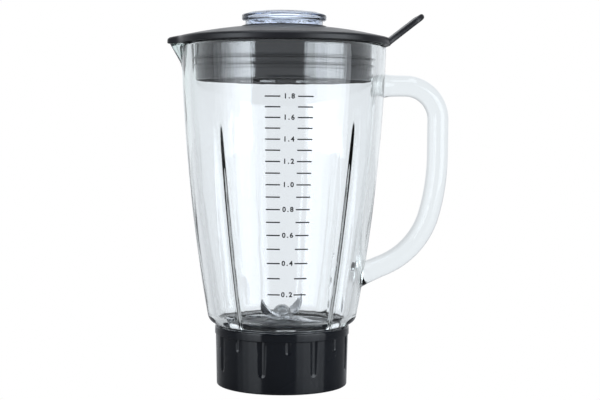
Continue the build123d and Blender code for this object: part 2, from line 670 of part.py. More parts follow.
def lower_bush():
    """The bush at the foot of the housing."""
    return bush(HOUSING_BOTTOM)


def shaft_seal():
    """The lip seal that keeps liquid out of the bearing."""
    bottom = HOUSING_TOP - SHAFT_SEAL_HEIGHT
    top = HOUSING_TOP - SHAFT_SEAL_RECESS
    return ring(SPINDLE_RADIUS + BUSH_CLEARANCE, SHAFT_SEAL_RADIUS, bottom, top)


# ---------------------------------------------------------------- rotor
def spindle():
    """The steel shaft, stepped down above the bearing for the blade stack."""
    bottom = COUPLING_BOTTOM + COUPLING_RECESS
    shaft = rod(SPINDLE_RADIUS, bottom, STACK_BOTTOM)
    return shaft + rod(SPINDLE_TOP_RADIUS, STACK_BOTTOM, NUT_BOTTOM + NUT_BORE_DEPTH)


def stack_ring(radius, bottom, thickness):
    """A washer on the spindle's stepped top."""
    return ring(SPINDLE_TOP_RADIUS + BLADE_HOLE_CLEARANCE, radius, bottom, bottom + thickness)


def blade_plan(reach, root_width, tip_width):
    """Plan of a two-armed blade: straight backs, and edges that taper to the tips."""
    back = root_width / 2
    front = tip_width - back
    arm = Polygon((0, -back), (reach - tip_width, -back), (reach, front - tip_width / 2),
                  (reach - BLADE_TIP_EASE, front), (BLADE_HUB_RADIUS, back), (0, back), align=None)
    return arm + Rot(0, 0, 180) * arm + Circle(BLADE_HUB_RADIUS)


def blade_teeth(reach, root_width, tip_width):
    """Round nicks along the straight edge of each arm."""
    teeth = []
    count = int((reach - BLADE_HUB_RADIUS - tip_width) / TOOTH_PITCH)
    for i in range(count):
        x = BLADE_HUB_RADIUS + TOOTH_LEAD + TOOTH_PITCH * i
        nick = Pos(x, -root_width / 2 - TOOTH_OUTSET) * Circle(TOOTH_RADIUS)
        teeth += [nick, Rot(0, 0, 180) * nick]
    return teeth


def drooping_strip(reach, bottom):
    """Side view of a blade whose straight arms droop from a flat hub."""
    top = bottom + BLADE_THICKNESS
    hub = BLADE_HUB_RADIUS
    tip = bottom - LOWER_BLADE_DROOP
    strip = [
        (-reach, tip), (-hub, bottom), (hub, bottom), (reach, tip),
        (reach, tip + BLADE_THICKNESS), (hub, top), (-hub, top), (-reach, tip + BLADE_THICKNESS),
    ]
    return make_face(Polyline(*strip, close=True))


def curled_strip(bottom):
    """Side view of a blade whose arms curl up from a flat hub about a round bend."""
    hub = BLADE_HUB_RADIUS
    inner_bend = UPPER_BLADE_BEND - BLADE_THICKNESS
    centre = Pos(hub, bottom + UPPER_BLADE_BEND)
    bend = centre * CenterArc((0, 0), UPPER_BLADE_BEND, -90, UPPER_BLADE_CURL)
    inside = centre * CenterArc((0, 0), inner_bend, -90, UPPER_BLADE_CURL)
    arm = make_face(
        bend + Line(bend @ 1, inside @ 1) + inside + Line(inside @ 0, bend @ 0)
    )
    flat = Pos(0, bottom + BLADE_THICKNESS / 2) * Rectangle(2 * hub, BLADE_THICKNESS)
    return flat + arm + mirror(arm, Plane.YZ)


def pressed_blade(side, reach, root_width, tip_width, bottom, top, angle):
    """A blade stamped to its plan and bent to its side view, with its spindle hole."""
    blank = extrude(Plane.XZ * side, root_width, both=True)
    plan = blade_plan(reach, root_width, tip_width)
    for nick in blade_teeth(reach, root_width, tip_width):
        plan -= nick
    cutter = Pos(0, 0, bottom) * extrude(plan, top - bottom)
    hole = rod(SPINDLE_TOP_RADIUS + BLADE_HOLE_CLEARANCE, bottom, top)
    return Rot(0, 0, angle) * ((blank & cutter) - hole)


def lower_blades():
    """The long pair, drooping towards the floor."""
    side = drooping_strip(LOWER_BLADE_REACH, LOWER_BLADE_BOTTOM)
    return pressed_blade(side, LOWER_BLADE_REACH, LOWER_BLADE_ROOT_WIDTH, LOWER_BLADE_TIP_WIDTH,
                         LOWER_BLADE_BOTTOM - LOWER_BLADE_DROOP, SPACER_BOTTOM, LOWER_BLADE_ANGLE)


def upper_blades():
    """The short pair, curled up until their tips stand upright."""
    reach = BLADE_HUB_RADIUS + UPPER_BLADE_BEND
    side = curled_strip(UPPER_BLADE_BOTTOM)
    return pressed_blade(side, reach, UPPER_BLADE_ROOT_WIDTH, UPPER_BLADE_TIP_WIDTH,
                         UPPER_BLADE_BOTTOM, UPPER_BLADE_BOTTOM + UPPER_BLADE_BEND, UPPER_BLADE_ANGLE)


def cap_nut():
    """The domed hexagon nut on top of the blade stack."""
    nut = hexagon(NUT_ACROSS_FLATS, NUT_BOTTOM, NUT_BOTTOM + NUT_HEIGHT)
    dome = Pos(0, 0, NUT_BOTTOM - NUT_DOME_DROP) * Sphere(NUT_DOME_RADIUS)
    return (nut & dome) - rod(SPINDLE_TOP_RADIUS, NUT_BOTTOM, NUT_BOTTOM + NUT_BORE_DEPTH)


def drive_coupling():
    """The lobed wheel that the motor's coupling turns, moulded round its insert."""
    wheel = rod(COUPLING_RADIUS - COUPLING_LOBE_RADIUS, COUPLING_BOTTOM, COUPLING_TOP)
    lobe = rod(COUPLING_LOBE_RADIUS, COUPLING_BOTTOM, COUPLING_TOP)
    for turn in around(COUPLING_LOBES):
        wheel += turn * Pos(COUPLING_RADIUS - COUPLING_LOBE_RADIUS, 0) * lobe
    pocket_floor = COUPLING_BOTTOM + COUPLING_RECESS
    return wheel - hexagon(INSERT_ACROSS_FLATS, pocket_floor, COUPLING_TOP)


def coupling_insert():
    """The hexagonal brass insert that screws onto the spindle."""
    bottom = COUPLING_BOTTOM + COUPLING_RECESS
    body = hexagon(INSERT_ACROSS_FLATS, bottom, COUPLING_TOP)
    return body - rod(SPINDLE_RADIUS, bottom, COUPLING_TOP)


def thrust_washer():
    """The washer between the lower bush and the coupling."""
    return ring(SPINDLE_RADIUS, WASHER_RADIUS, COUPLING_TOP, THRUST_WASHER_TOP)


# ---------------------------------------------------------------- assembly
PARTS = {
    "glass_jug": glass_jug,
    "glass_handle": glass_handle,
    "volume_scale": volume_scale,
    "lid_cover": lid_cover,
    "lid_plug": lid_plug,
    "lid_seal": lid_seal,
    "measuring_cap": measuring_cap,
    "cap_seal": cap_seal,
    "collar_ring": collar_ring,
    "blade_carrier": blade_carrier,
    "carrier_gasket": carrier_gasket,
    "bearing_housing": bearing_housing,
    "housing_nut": housing_nut,
    "upper_bush": upper_bush,
    "lower_bush": lower_bush,
    "shaft_seal": shaft_seal,
    "spindle": spindle,
    "bottom_washer": lambda: stack_ring(WASHER_RADIUS, STACK_BOTTOM, WASHER_THICKNESS),
    "lower_blades": lower_blades,
    "blade_spacer": lambda: stack_ring(WASHER_RADIUS, SPACER_BOTTOM, SPACER_THICKNESS),
    "upper_blades": upper_blades,
    "lock_washer": lambda: stack_ring(WASHER_RADIUS - 1.5, LOCK_WASHER_BOTTOM, WASHER_THICKNESS),
    "cap_nut": cap_nut,
    "drive_coupling": drive_coupling,
    "coupling_insert": coupling_insert,
    "thrust_washer": thrust_washer,
}

os.makedirs("parts", exist_ok=True)
for name, make in PARTS.items():
    solid = make()
    export_step(solid, f"parts/{name}.step")
    print(name, round(solid.volume / 1000.0, 2), "cm3", len(solid.solids()), "solids")
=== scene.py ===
"""The looks of a glass blender jug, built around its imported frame.

Lengths are written in millimetres and scaled by MM to metres.  +Z runs up the jug's axis, the volume
scale faces -Y, the spout points to -X and the handle to +X.
"""
import math

import bmesh
import bpy
from mathutils import Matrix, Vector


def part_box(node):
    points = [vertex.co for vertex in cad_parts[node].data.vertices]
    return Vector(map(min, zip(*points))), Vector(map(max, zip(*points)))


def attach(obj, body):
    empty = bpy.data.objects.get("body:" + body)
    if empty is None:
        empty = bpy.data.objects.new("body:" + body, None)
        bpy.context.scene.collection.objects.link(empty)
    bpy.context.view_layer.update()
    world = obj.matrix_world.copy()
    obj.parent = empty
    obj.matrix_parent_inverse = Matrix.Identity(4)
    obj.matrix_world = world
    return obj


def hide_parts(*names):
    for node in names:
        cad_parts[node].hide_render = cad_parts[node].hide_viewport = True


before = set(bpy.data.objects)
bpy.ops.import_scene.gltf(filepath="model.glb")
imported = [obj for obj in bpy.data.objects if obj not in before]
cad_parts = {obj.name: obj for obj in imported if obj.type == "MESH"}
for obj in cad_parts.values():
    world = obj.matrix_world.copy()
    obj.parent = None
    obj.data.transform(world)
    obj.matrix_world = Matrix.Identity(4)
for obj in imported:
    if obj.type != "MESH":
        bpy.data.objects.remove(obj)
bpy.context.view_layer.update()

MM = 0.001
TAU = 2 * math.pi
FRONT = 1.5 * math.pi


def top_of(node):
    """Height of a CAD node's highest point, in millimetres."""
    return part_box(node)[1][2] / MM


def bottom_of(node):
    """Height of a CAD node's lowest point, in millimetres."""
    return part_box(node)[0][2] / MM


def half_depth_of(node):
    """Half of a CAD node's size along Y, in millimetres: the radius of a round node."""
    low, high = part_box(node)
    return (high[1] - low[1]) / 2 / MM


# ---------------------------------------------------------------- dimensions from the frame
RIM = top_of("glass_jug")
NECK_BOTTOM = bottom_of("glass_jug")
RIM_RADIUS = half_depth_of("glass_jug")
COLLAR_TOP = top_of("collar_ring")
COLLAR_RIM_RADIUS = half_depth_of("collar_ring")
LID_RADIUS = half_depth_of("lid_cover")
BRIM_BOTTOM = RIM + 0.5
PLUG_BOTTOM = bottom_of("lid_plug")
PLUG_RADIUS = half_depth_of("lid_plug")
CAP_TOP = top_of("measuring_cap")
CAP_BOTTOM = bottom_of("measuring_cap")
CARRIER_BOTTOM = bottom_of("blade_carrier")
CARRIER_TOP = top_of("blade_carrier")
SHOULDER = COLLAR_TOP + 1.5

# ---------------------------------------------------------------- other dimensions
NECK_RADIUS = 43.0
MOUTH_RADIUS = 38.5
BODY_BASE_RADIUS = 53.7
BODY_BULGE = 4.0
WALL_AT_BASE = 6.2
WALL_AT_RIM = 6.4
FLOOR = SHOULDER + 3.5
FLOOR_FALL = 1.0
FLOOR_FILLET = 7.0
RIB_RADIUS = 6.5
RIB_PROUD = 5.0
RIB_PROUD_HALFWAY = 3.5
RIB_TOP = RIM - 47.0
RIB_FADE = 12.0
RIB_BLEND = 1.4


# ---------------------------------------------------------------- mesh helpers
def add_object(name, mesh):
    """A new object for a mesh, linked to the scene."""
    piece = bpy.data.objects.new(name, mesh)
    bpy.context.scene.collection.objects.link(piece)
    return piece


def mesh_piece(name, points, faces, sharp=35.0):
    """A smooth-shaded piece from points in millimetres, its faces turned outward."""
    mesh = bpy.data.meshes.new(name)
    mesh.from_pydata([tuple(c * MM for c in p) for p in points], [], faces)
    work = bmesh.new()
    work.from_mesh(mesh)
    bmesh.ops.remove_doubles(work, verts=work.verts, dist=1e-6)
    bmesh.ops.recalc_face_normals(work, faces=work.faces)
    work.to_mesh(mesh)
    work.free()
    shade(mesh, sharp)
    return add_object(name, mesh)


def shade(mesh, sharp):
    """Smooth shading with edges above an angle kept sharp."""
    mesh.polygons.foreach_set("use_smooth", [True] * len(mesh.polygons))
    mesh.set_sharp_from_angle(angle=math.radians(sharp))


def rounded(corners, closed=True, arc_step=12.0):
    """A half section from corners (radius, height, rounding), with an arc in place of each corner."""
    count = len(corners)
    out = []
    for i, (x, z, fillet) in enumerate(corners):
        ends = not closed and i in (0, count - 1)
        if fillet <= 0 or ends:
            out.append((x, z))
            continue
        here = Vector((x, z))
        before = (Vector(corners[i - 1][:2]) - here).normalized()
        after = (Vector(corners[(i + 1) % count][:2]) - here).normalized()
        inside = before.angle(after)
        turn = math.pi - inside
        reach = fillet / math.tan(inside / 2)
        centre = here + (before + after).normalized() * (fillet / math.sin(inside / 2))
        start = here + before * reach - centre
        end = here + after * reach - centre
        steps = max(2, math.ceil(math.degrees(turn) / arc_step))
        for k in range(steps + 1):
            t = k / steps
            mixed = start * math.sin((1 - t) * turn) + end * math.sin(t * turn)
            out.append(tuple(centre + mixed / math.sin(turn)))
    return out


def lathe(name, section, angles=192, closed=True, shape=None, sharp=35.0):
    """Turns a half section round the axis.  shape(angle, radius, height) may move each point."""
    if isinstance(angles, int):
        angles = [TAU * i / angles for i in range(angles)]
    rows = len(section)
    points = []
    for a in angles:
        for r, z in section:
            if shape:
                r, z = shape(a, r, z)
            points.append((r * math.cos(a), r * math.sin(a), z))
    faces = []
    spans = rows if closed else rows - 1
    for i in range(len(angles)):
        j = (i + 1) % len(angles)
        for k in range(spans):
            m = (k + 1) % rows
            faces.append((i * rows + k, j * rows + k, j * rows + m, i * rows + m))
    return mesh_piece(name, points, faces, sharp)


def dress(piece, material, body, slot, *nodes):
    """Gives a piece its material and its body, and hides the CAD nodes that it stands for. The slot argument is
    not used.
    """
    piece.data.materials.clear()
    piece.data.materials.append(material)
    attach(piece, body)
    if nodes:
        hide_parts(*nodes)
    return piece


def smooth_max(a, b, blend):
    """The larger of two values, with a rounded crossover."""
    h = max(0.0, blend - abs(a - b)) / blend
    return max(a, b) + h * h * blend * 0.25


def smooth_min(a, b, blend):
    """The smaller of two values, with a rounded crossover."""
    return -smooth_max(-a, -b, blend)


def angle_from(a, centre):
    """Signed difference between two angles, within half a turn."""
    return (a - centre + math.pi) % TAU - math.pi


class WallArc:
    """The side of the jug as one circular arc, bulging outward from its chord."""

    def __init__(self, low_radius, low, high_radius, high, bulge):
        chord = math.hypot(high_radius - low_radius, high - low)
        self.arc_radius = (chord ** 2 / 4 + bulge ** 2) / (2 * bulge)
        out = (self.arc_radius - bulge) / chord
        self.centre_radius = (low_radius + high_radius) / 2 - out * (high - low)
        self.centre_height = (low + high) / 2 + out * (high_radius - low_radius)

    def radius(self, height):
        """Radius of the side at a height."""
        offset = height - self.centre_height
        return self.centre_radius + math.sqrt(self.arc_radius ** 2 - offset ** 2)


OUTSIDE = WallArc(BODY_BASE_RADIUS, SHOULDER, RIM_RADIUS, RIM, BODY_BULGE)
INSIDE = WallArc(OUTSIDE.radius(FLOOR) - WALL_AT_BASE, FLOOR, RIM_RADIUS - WALL_AT_RIM, RIM, BODY_BULGE)


# ---------------------------------------------------------------- materials
class Shader:
    """A node material with a Principled shader, and short calls for its procedural parts."""

    def __init__(self, name, **values):
        self.material = bpy.data.materials.new(name)
        self.material.use_nodes = True
        self.tree = self.material.node_tree
        self.surface = self.tree.nodes["Principled BSDF"]
        for key, value in values.items():
            self.surface.inputs[key.replace("_", " ")].default_value = value
        self.place = self.node("ShaderNodeTexCoord").outputs["Object"]
        self.height = None

    def node(self, kind, **values):
        made = self.tree.nodes.new(kind)
        for key, value in values.items():
            made.inputs[key.replace("_", " ")].default_value = value
        return made

    def link(self, start, end):
        self.tree.links.new(start, end)

    def stretched(self, x, y, z):
        """Object coordinates scaled by a different amount along each axis."""
        mapping = self.node("ShaderNodeMapping")
        mapping.inputs["Scale"].default_value = (x, y, z)
        self.link(self.place, mapping.inputs["Vector"])
        return mapping.outputs["Vector"]

    def noise(self, scale, detail=3.0, place=None):
        made = self.node("ShaderNodeTexNoise", Scale=scale, Detail=detail)
        self.link(place or self.place, made.inputs["Vector"])
        return made.outputs["Fac"]

    def span(self, value, low, high, start=0.3, end=0.7):
        """A value from 0 to 1 spread between two numbers."""
        made = self.node("ShaderNodeMapRange")
        made.inputs["From Min"].default_value = start
        made.inputs["From Max"].default_value = end
        made.inputs["To Min"].default_value = low
        made.inputs["To Max"].default_value = high
        self.link(value, made.inputs["Value"])
        return made.outputs["Result"]

    def colour(self, value, *stops):
        """A colour ramp from stops of (position, colour)."""
        ramp = self.node("ShaderNodeValToRGB")
        elements = ramp.color_ramp.elements
        while len(elements) < len(stops):
            elements.new(0.5)
        for element, (position, shade_) in zip(elements, stops):
            element.position = position
            element.color = (*shade_, 1.0)
        self.link(value, ramp.inputs["Fac"])
        self.link(ramp.outputs["Color"], self.surface.inputs["Base Color"])

    def roughness(self, value, low, high):
        self.link(self.span(value, low, high), self.surface.inputs["Roughness"])

    def bump(self, value, distance, strength=1.0):
        """Adds a bump, over any bump that is there already."""
        made = self.node("ShaderNodeBump", Strength=strength, Distance=distance)
        self.link(value, made.inputs["Height"])
        if self.height:
            self.link(self.height, made.inputs["Normal"])
        self.height = made.outputs["Normal"]
        self.link(self.height, self.surface.inputs["Normal"])


THICK_GLASS = (-0.066, -0.077)


def clear_glass(name, tint, roughness, wave, absorb, density):
    """Pressed glass: faintly rippled, and tinted by its own depth."""
    made = Shader(name, Base_Color=(*tint, 1.0), Roughness=roughness, IOR=1.5, Transmission_Weight=1.0)
    made.bump(made.noise(38.0, 2.0, made.stretched(1.0, 1.0, 0.35)), wave)
    depth = made.node("ShaderNodeVolumeAbsorption", Color=(*absorb, 1.0))
    split = made.node("ShaderNodeSeparateXYZ")
    made.link(made.place, split.inputs["Vector"])
    made.link(made.span(split.outputs["X"], *density, *THICK_GLASS), depth.inputs["Density"])
    output = made.tree.nodes["Material Output"]
    made.link(depth.outputs["Volume"], output.inputs["Volume"])
    return made.material


def frosted_glass(name):
    """The handle's glass, with the soft skin of worked glass."""
    made = Shader(name, Base_Color=(0.965, 0.975, 0.985, 1.0), IOR=1.5, Transmission_Weight=1.0)
    grain = made.noise(60.0, 3.0)
    made.roughness(grain, 0.16, 0.26)
    made.bump(made.noise(45.0, 2.0), 0.0003)
    return made.material


def clear_plastic():
    """Moulded clear plastic with a blue cast and faint flow marks."""
    made = Shader("clear_blue_plastic", Base_Color=(0.86, 0.91, 0.99, 1.0), IOR=1.49, Transmission_Weight=1.0)
    flow = made.noise(70.0, 3.0, made.stretched(1.0, 1.0, 3.0))
    made.roughness(flow, 0.02, 0.06)
    made.bump(flow, 0.0002)
    depth = made.node("ShaderNodeVolumeAbsorption", Color=(0.5, 0.65, 0.95, 1.0), Density=16.0)
    made.link(depth.outputs["Volume"], made.tree.nodes["Material Output"].inputs["Volume"])
    return made.material


def moulded_black(name, dark, light, smooth, rough, grain, coat=0.0, ior=1.5):
    """Black moulded plastic: uneven gloss, a fine skin and slight colour drift."""
    made = Shader(name, Coat_Weight=coat, Coat_Roughness=0.06, IOR=ior)
    drift = made.noise(24.0, 4.0)
    made.colour(drift, (0.35, dark), (0.65, light))
    made.roughness(made.noise(90.0, 4.0), smooth, rough)
    made.bump(made.noise(1400.0, 2.0), grain)
    made.bump(made.noise(16.0, 1.0), 0.00015)
    return made.material


def steel(name, dark, light, smooth, rough, stretch, scale=900.0):
    """Ground steel: fine scratches along one direction, and patchy roughness."""
    made = Shader(name, Metallic=1.0)
    lines = made.noise(scale, 3.0, made.stretched(*stretch))
    made.colour(lines, (0.3, dark), (0.7, light))
    made.roughness(made.noise(120.0, 4.0), smooth, rough)
    made.bump(lines, 0.00004)
    return made.material


def rubber(name, dark, light, smooth, rough):
    """Silicone with a slightly uneven surface."""
    made = Shader(name)
    made.colour(made.noise(300.0, 4.0), (0.35, dark), (0.65, light))
    made.roughness(made.noise(200.0, 3.0), smooth, rough)
    made.bump(made.noise(900.0, 2.0), 0.00005)
    return made.material


def painted_shade_black(name):
    """Painted shade: moulded black with almost no sheen, for faces that look down."""
    made = Shader(name, Specular_IOR_Level=0.05, Roughness=0.8)
    made.colour(made.noise(60.0, 4.0), (0.35, (0.006, 0.006, 0.008)), (0.65, (0.012, 0.012, 0.015)))
    made.bump(made.noise(700.0, 3.0), 0.00003)
    return made.material


def fired_ink():
    """Printed enamel: dark grey, with thin spots."""
    made = Shader("fired_ink")
    made.colour(made.noise(1500.0, 3.0), (0.3, (0.012, 0.013, 0.015)), (0.75, (0.03, 0.032, 0.035)))
    made.roughness(made.noise(800.0, 2.0), 0.35, 0.5)
    return made.material


GLASS = clear_glass("jug_glass", (0.982, 0.989, 0.996), 0.0, 0.0004, (0.6, 0.84, 0.76), (5.0, 45.0))
HANDLE_GLASS = frosted_glass("handle_glass")
CAP_PLASTIC = clear_plastic()
LID_BLACK = moulded_black("lid_black", (0.014, 0.014, 0.017), (0.02, 0.02, 0.024), 0.3, 0.4, 0.00002)
DEEP_BLACK = (0.005, 0.006, 0.008)
DEEP_BLACK_LIGHT = (0.008, 0.009, 0.012)
POLISHED = 0.000004
GLOSS_BLACK = moulded_black("gloss_black", (0.005, 0.006, 0.009), (0.008, 0.01, 0.014), 0.06, 0.11, POLISHED, 0.0)
PLUG_BLACK = moulded_black("plug_black", DEEP_BLACK, DEEP_BLACK_LIGHT, 0.05, 0.1, POLISHED, 0.3, 2.1)
CARRIER_BLACK = moulded_black("carrier_black", (0.03, 0.033, 0.038), (0.045, 0.05, 0.056), 0.3, 0.42, 0.00003)
BLADE_STEEL = steel("blade_steel", (0.5, 0.51, 0.53), (0.72, 0.73, 0.75), 0.2, 0.34, (1.0, 1.0, 0.2))
TURNED_STEEL = steel("turned_steel", (0.42, 0.43, 0.44), (0.6, 0.61, 0.62), 0.22, 0.36, (0.25, 0.25, 2.0))
BRONZE = steel("sintered_bronze", (0.36, 0.22, 0.09), (0.55, 0.36, 0.17), 0.35, 0.5, (1.0, 1.0, 1.0))
SEAL_BLACK = rubber("seal_rubber", (0.01, 0.01, 0.011), (0.02, 0.02, 0.022), 0.5, 0.62)
LIP_BLACK = moulded_black("lip_rubber", DEEP_BLACK, DEEP_BLACK_LIGHT, 0.08, 0.14, POLISHED, 0.2, 1.95)
# Painted shade: a sheenless copy of the plug's black, for the plug's faces that look down.
UNDERSIDE_SHADE_BLACK = painted_shade_black("underside_shade_black")
COUPLING_BLACK = moulded_black("coupling_black", (0.03, 0.03, 0.033), (0.05, 0.05, 0.053), 0.35, 0.5, 0.00003)
INK = fired_ink()


# ---------------------------------------------------------------- glass jug
SPOUT_RADIUS = 13.0
SPOUT_FOOT_RADIUS = 6.5
SPOUT_CENTRE = 70.0
SPOUT_FOOT_CENTRE = 66.2
SPOUT_DROP = 18.0
SPOUT_WALL = 4.5
THREAD_STARTS = 4
THREAD_LEAD = 24.0
THREAD_ARC = math.radians(62.0)
RIDGE_HEIGHT = 1.8
RIDGE_ROOT = 2.6
RIDGE_CREST = 1.6
NECK_THREAD_RISE = 5.0
RIB_ANGLES = [math.radians(45.0 + 90.0 * i) for i in range(4)]


def circle_hit(offset, centre, radius, far):
    """Where a ray from the axis meets a circle lying out along it, or None."""
    across = centre * math.sin(offset)
    if abs(across) >= radius or abs(offset) > math.pi / 2:
        return None
    along = math.sqrt(radius ** 2 - across ** 2)
    return centre * math.cos(offset) + (along if far else -along)


def spout_reach(a, z, wall):
    """How far the spout reaches out at an angle and height, or None outside it."""
    t = (z - (RIM - SPOUT_DROP)) / SPOUT_DROP
    if t < 0:
        return None
    centre = SPOUT_FOOT_CENTRE + (SPOUT_CENTRE - SPOUT_FOOT_CENTRE) * t
    radius = SPOUT_FOOT_RADIUS + (SPOUT_RADIUS - SPOUT_FOOT_RADIUS) * t - wall
    if radius <= 0:
        return None
    return circle_hit(angle_from(a, math.pi), centre, radius, True)


def ridge_at(a, z, base):
    """Height of the thread's ridge at an angle and height."""
    for i in range(THREAD_STARTS):
        along = (a - TAU * i / THREAD_STARTS) % TAU
        if along <= THREAD_ARC:
            off = abs(z - base - THREAD_LEAD * along / TAU)
            slope = (RIDGE_ROOT / 2 - off) / (RIDGE_ROOT / 2 - RIDGE_CREST / 2)
            ends = min(1.0, along / 0.06, (THREAD_ARC - along) / 0.06)
            return RIDGE_HEIGHT * max(0.0, min(1.0, slope)) * ends
    return 0.0


def rib_face(a, z):
    """Radius of the nearest rib's face at an angle and height, or None beside it."""
    middle = (SHOULDER + RIB_TOP) / 2
    low = INSIDE.radius(SHOULDER) - RIB_PROUD + RIB_RADIUS
    half = INSIDE.radius(middle) - RIB_PROUD_HALFWAY + RIB_RADIUS
    high = INSIDE.radius(RIB_TOP) + RIB_RADIUS
    t = (z - SHOULDER) / (RIB_TOP - SHOULDER)
    if t > 1.0:
        return None
    t = max(0.0, t)
    centre = low * (1 - t) * (1 - 2 * t) + half * 4 * t * (1 - t) + high * t * (2 * t - 1)
    for rib in RIB_ANGLES:
        hit = circle_hit(angle_from(a, rib), centre, RIB_RADIUS, False)
        if hit:
            return hit
    return None


def jug_shape(a, r, z):
    """Adds the thread, the ribs and the spout to the jug's turned section."""
    middle_wall = (OUTSIDE.radius(z) + INSIDE.radius(z)) / 2 if z > SHOULDER else NECK_RADIUS - 1.0
    outer = r > middle_wall
    if z < SHOULDER - 1.0:
        if outer:
            r += ridge_at(a, z, NECK_BOTTOM + NECK_THREAD_RISE)
        return r, z
    if not outer and z > FLOOR - FLOOR_FALL and r > MOUTH_RADIUS + 1.0:
        face = rib_face(a, z)
        if face:
            fade = max(0.0, min(1.0, (RIB_TOP - z) / RIB_FADE))
            r -= (r - smooth_min(r, face, RIB_BLEND)) * fade
    reach = spout_reach(a, z, 0.0 if outer else SPOUT_WALL)
    if reach:
        r = smooth_max(r, reach, 2.0)
    return r, z


def jug_section():
    """Half section of the jug's glass, from the neck's mouth round the outside and back down inside."""
    heights = [SHOULDER + 12.0 + (RIM - 6.0 - SHOULDER - 12.0) * i / 52 for i in range(53)]
    neck = [(NECK_RADIUS, NECK_BOTTOM + 1.5 + 0.45 * i, 0) for i in range(50)]
    corners = [(MOUTH_RADIUS, NECK_BOTTOM, 0.6), (NECK_RADIUS, NECK_BOTTOM, 0.6), *neck]
    corners += [(NECK_RADIUS, SHOULDER, 0.8), (BODY_BASE_RADIUS, SHOULDER, 7.0)]
    corners += [(OUTSIDE.radius(z), z, 0) for z in heights]
    corners += [(RIM_RADIUS, RIM, 2.2), (RIM_RADIUS - WALL_AT_RIM, RIM, 2.2)]
    corners += [(INSIDE.radius(z), z, 0) for z in reversed(heights)]
    corners += [(INSIDE.radius(FLOOR), FLOOR, FLOOR_FILLET), (MOUTH_RADIUS, FLOOR - FLOOR_FALL, 0.8)]
    return rounded(corners, arc_step=9.0)


def jug_angles():
    """Angles round the jug, closer together at the ribs and the spout."""
    out = []
    a = 0.0
    while a < TAU - 1e-6:
        out.append(a)
        near_rib = min(abs(angle_from(a, rib)) for rib in RIB_ANGLES) < math.radians(9.5)
        near_spout = abs(angle_from(a, math.pi)) < math.radians(18.0)
        a += math.radians(0.5 if near_rib else 1.0 if near_spout else 1.5)
    return out


HANDLE_THICKNESS = 15.4
HANDLE_WIDTH = 20.0
HANDLE_REACH = 114.3
HANDLE_TOP = RIM - 28.6
HANDLE_TOP_BEND = 24.6
HANDLE_STRAIGHT_END = RIM - 79.0
HANDLE_MIDDLE = (108.5, RIM - 122.0)
HANDLE_FOOT = (72.0, RIM - 162.0)
HANDLE_FOOT_SLOPE = math.radians(25.0)
FLARE = 0.16
FLARE_REACH = 3.5
FOOT_RINGS = 8
FOOT_SINK = 2.0


def arc_between(start, end, heading, steps):
    """Points of the circular arc that leaves start along heading and ends at end."""
    start, end, heading = Vector(start), Vector(end), Vector(heading).normalized()
    chord = end - start
    normal = Vector((heading.y, -heading.x))
    if normal.dot(chord) < 0:
        normal = -normal
    radius = chord.length_squared / (2 * chord.dot(normal))
    centre = start + normal * radius
    turn = 2 * math.asin(chord.length / (2 * radius))
    out = []
    for i in range(1, steps + 1):
        a = turn * i / steps
        out.append(centre - normal * radius * math.cos(a) + heading * radius * math.sin(a))
    return out


def handle_line():
    """Centre line of the handle in the XZ plane, from inside the jug's wall to the foot."""
    bend_start = (HANDLE_REACH - HANDLE_TOP_BEND, HANDLE_TOP)
    bend_end = (HANDLE_REACH, HANDLE_TOP - HANDLE_TOP_BEND)
    straight_end = (HANDLE_REACH, HANDLE_STRAIGHT_END)
    start_x = OUTSIDE.radius(HANDLE_TOP) - WALL_AT_RIM * 0.55
    line = [Vector((start_x + (bend_start[0] - start_x) * i / 14, HANDLE_TOP)) for i in range(15)]
    line += arc_between(bend_start, bend_end, (1, 0), 14)
    line += [Vector(bend_end) + (Vector(straight_end) - Vector(bend_end)) * (i / 8) for i in range(1, 9)]
    line += arc_between(straight_end, HANDLE_MIDDLE, (0, -1), 12)
    line += arc_between(HANDLE_MIDDLE, HANDLE_FOOT, line[-1] - line[-2], 22)
    return line


def run_to_wall(point, inward):
    """How far a point slides along a direction until it lies just under the glass's outer face."""
    run = 0.0
    for _ in range(6):
        at = point + inward * run
        run += (math.hypot(at.x, at.y) - OUTSIDE.radius(at.z) + FOOT_SINK) / -inward.x
    return run


def foot_rings(around):
    """Rings of the handle's foot, which widens and ends on the curve of the wall."""
    inward = Vector((-math.cos(HANDLE_FOOT_SLOPE), 0, -math.sin(HANDLE_FOOT_SLOPE)))
    up = Vector((inward.z, 0, -inward.x))
    foot = Vector((HANDLE_FOOT[0], 0, HANDLE_FOOT[1]))
    points = []
    for i in range(1, FOOT_RINGS + 1):
        share = i / FOOT_RINGS
        for k in range(around):
            t = TAU * k / around
            offset = up * HANDLE_THICKNESS / 2 * math.sin(t) + Vector((0, HANDLE_WIDTH / 2 * math.cos(t), 0))
            run = run_to_wall(foot + offset * (1 + FLARE), inward)
            flare = 1 + FLARE * math.exp(-run * (1 - share) / FLARE_REACH)
            points.append(foot + offset * flare + inward * run * share)
    return points


def handle_rod():
    """The handle as an oval rod that flares where it joins the wall."""
    line = handle_line()
    around = 48
    points = []
    for i, at in enumerate(line):
        ahead = line[min(i + 1, len(line) - 1)]
        behind = line[max(i - 1, 0)]
        along = (ahead - behind).normalized()
        side = Vector((along.y, -along.x))
        off_wall = at.x - OUTSIDE.radius(at.y)
        flare = 1.0 + FLARE * math.exp(-max(0.0, off_wall) / FLARE_REACH)
        for k in range(around):
            t = TAU * k / around
            across = HANDLE_THICKNESS / 2 * math.sin(t) * flare
            wide = HANDLE_WIDTH / 2 * math.cos(t) * flare
            points.append((at.x + side.x * across, wide, at.y + side.y * across))
    points += foot_rings(around)
    rings = len(line) + FOOT_RINGS
    faces = []
    for i in range(rings - 1):
        for k in range(around):
            m = (k + 1) % around
            faces.append((i * around + k, i * around + m, (i + 1) * around + m, (i + 1) * around + k))
    last = (rings - 1) * around
    faces.append(tuple(range(around)))
    faces.append(tuple(last + k for k in reversed(range(around))))
    return mesh_piece("handle_rod", points, faces)


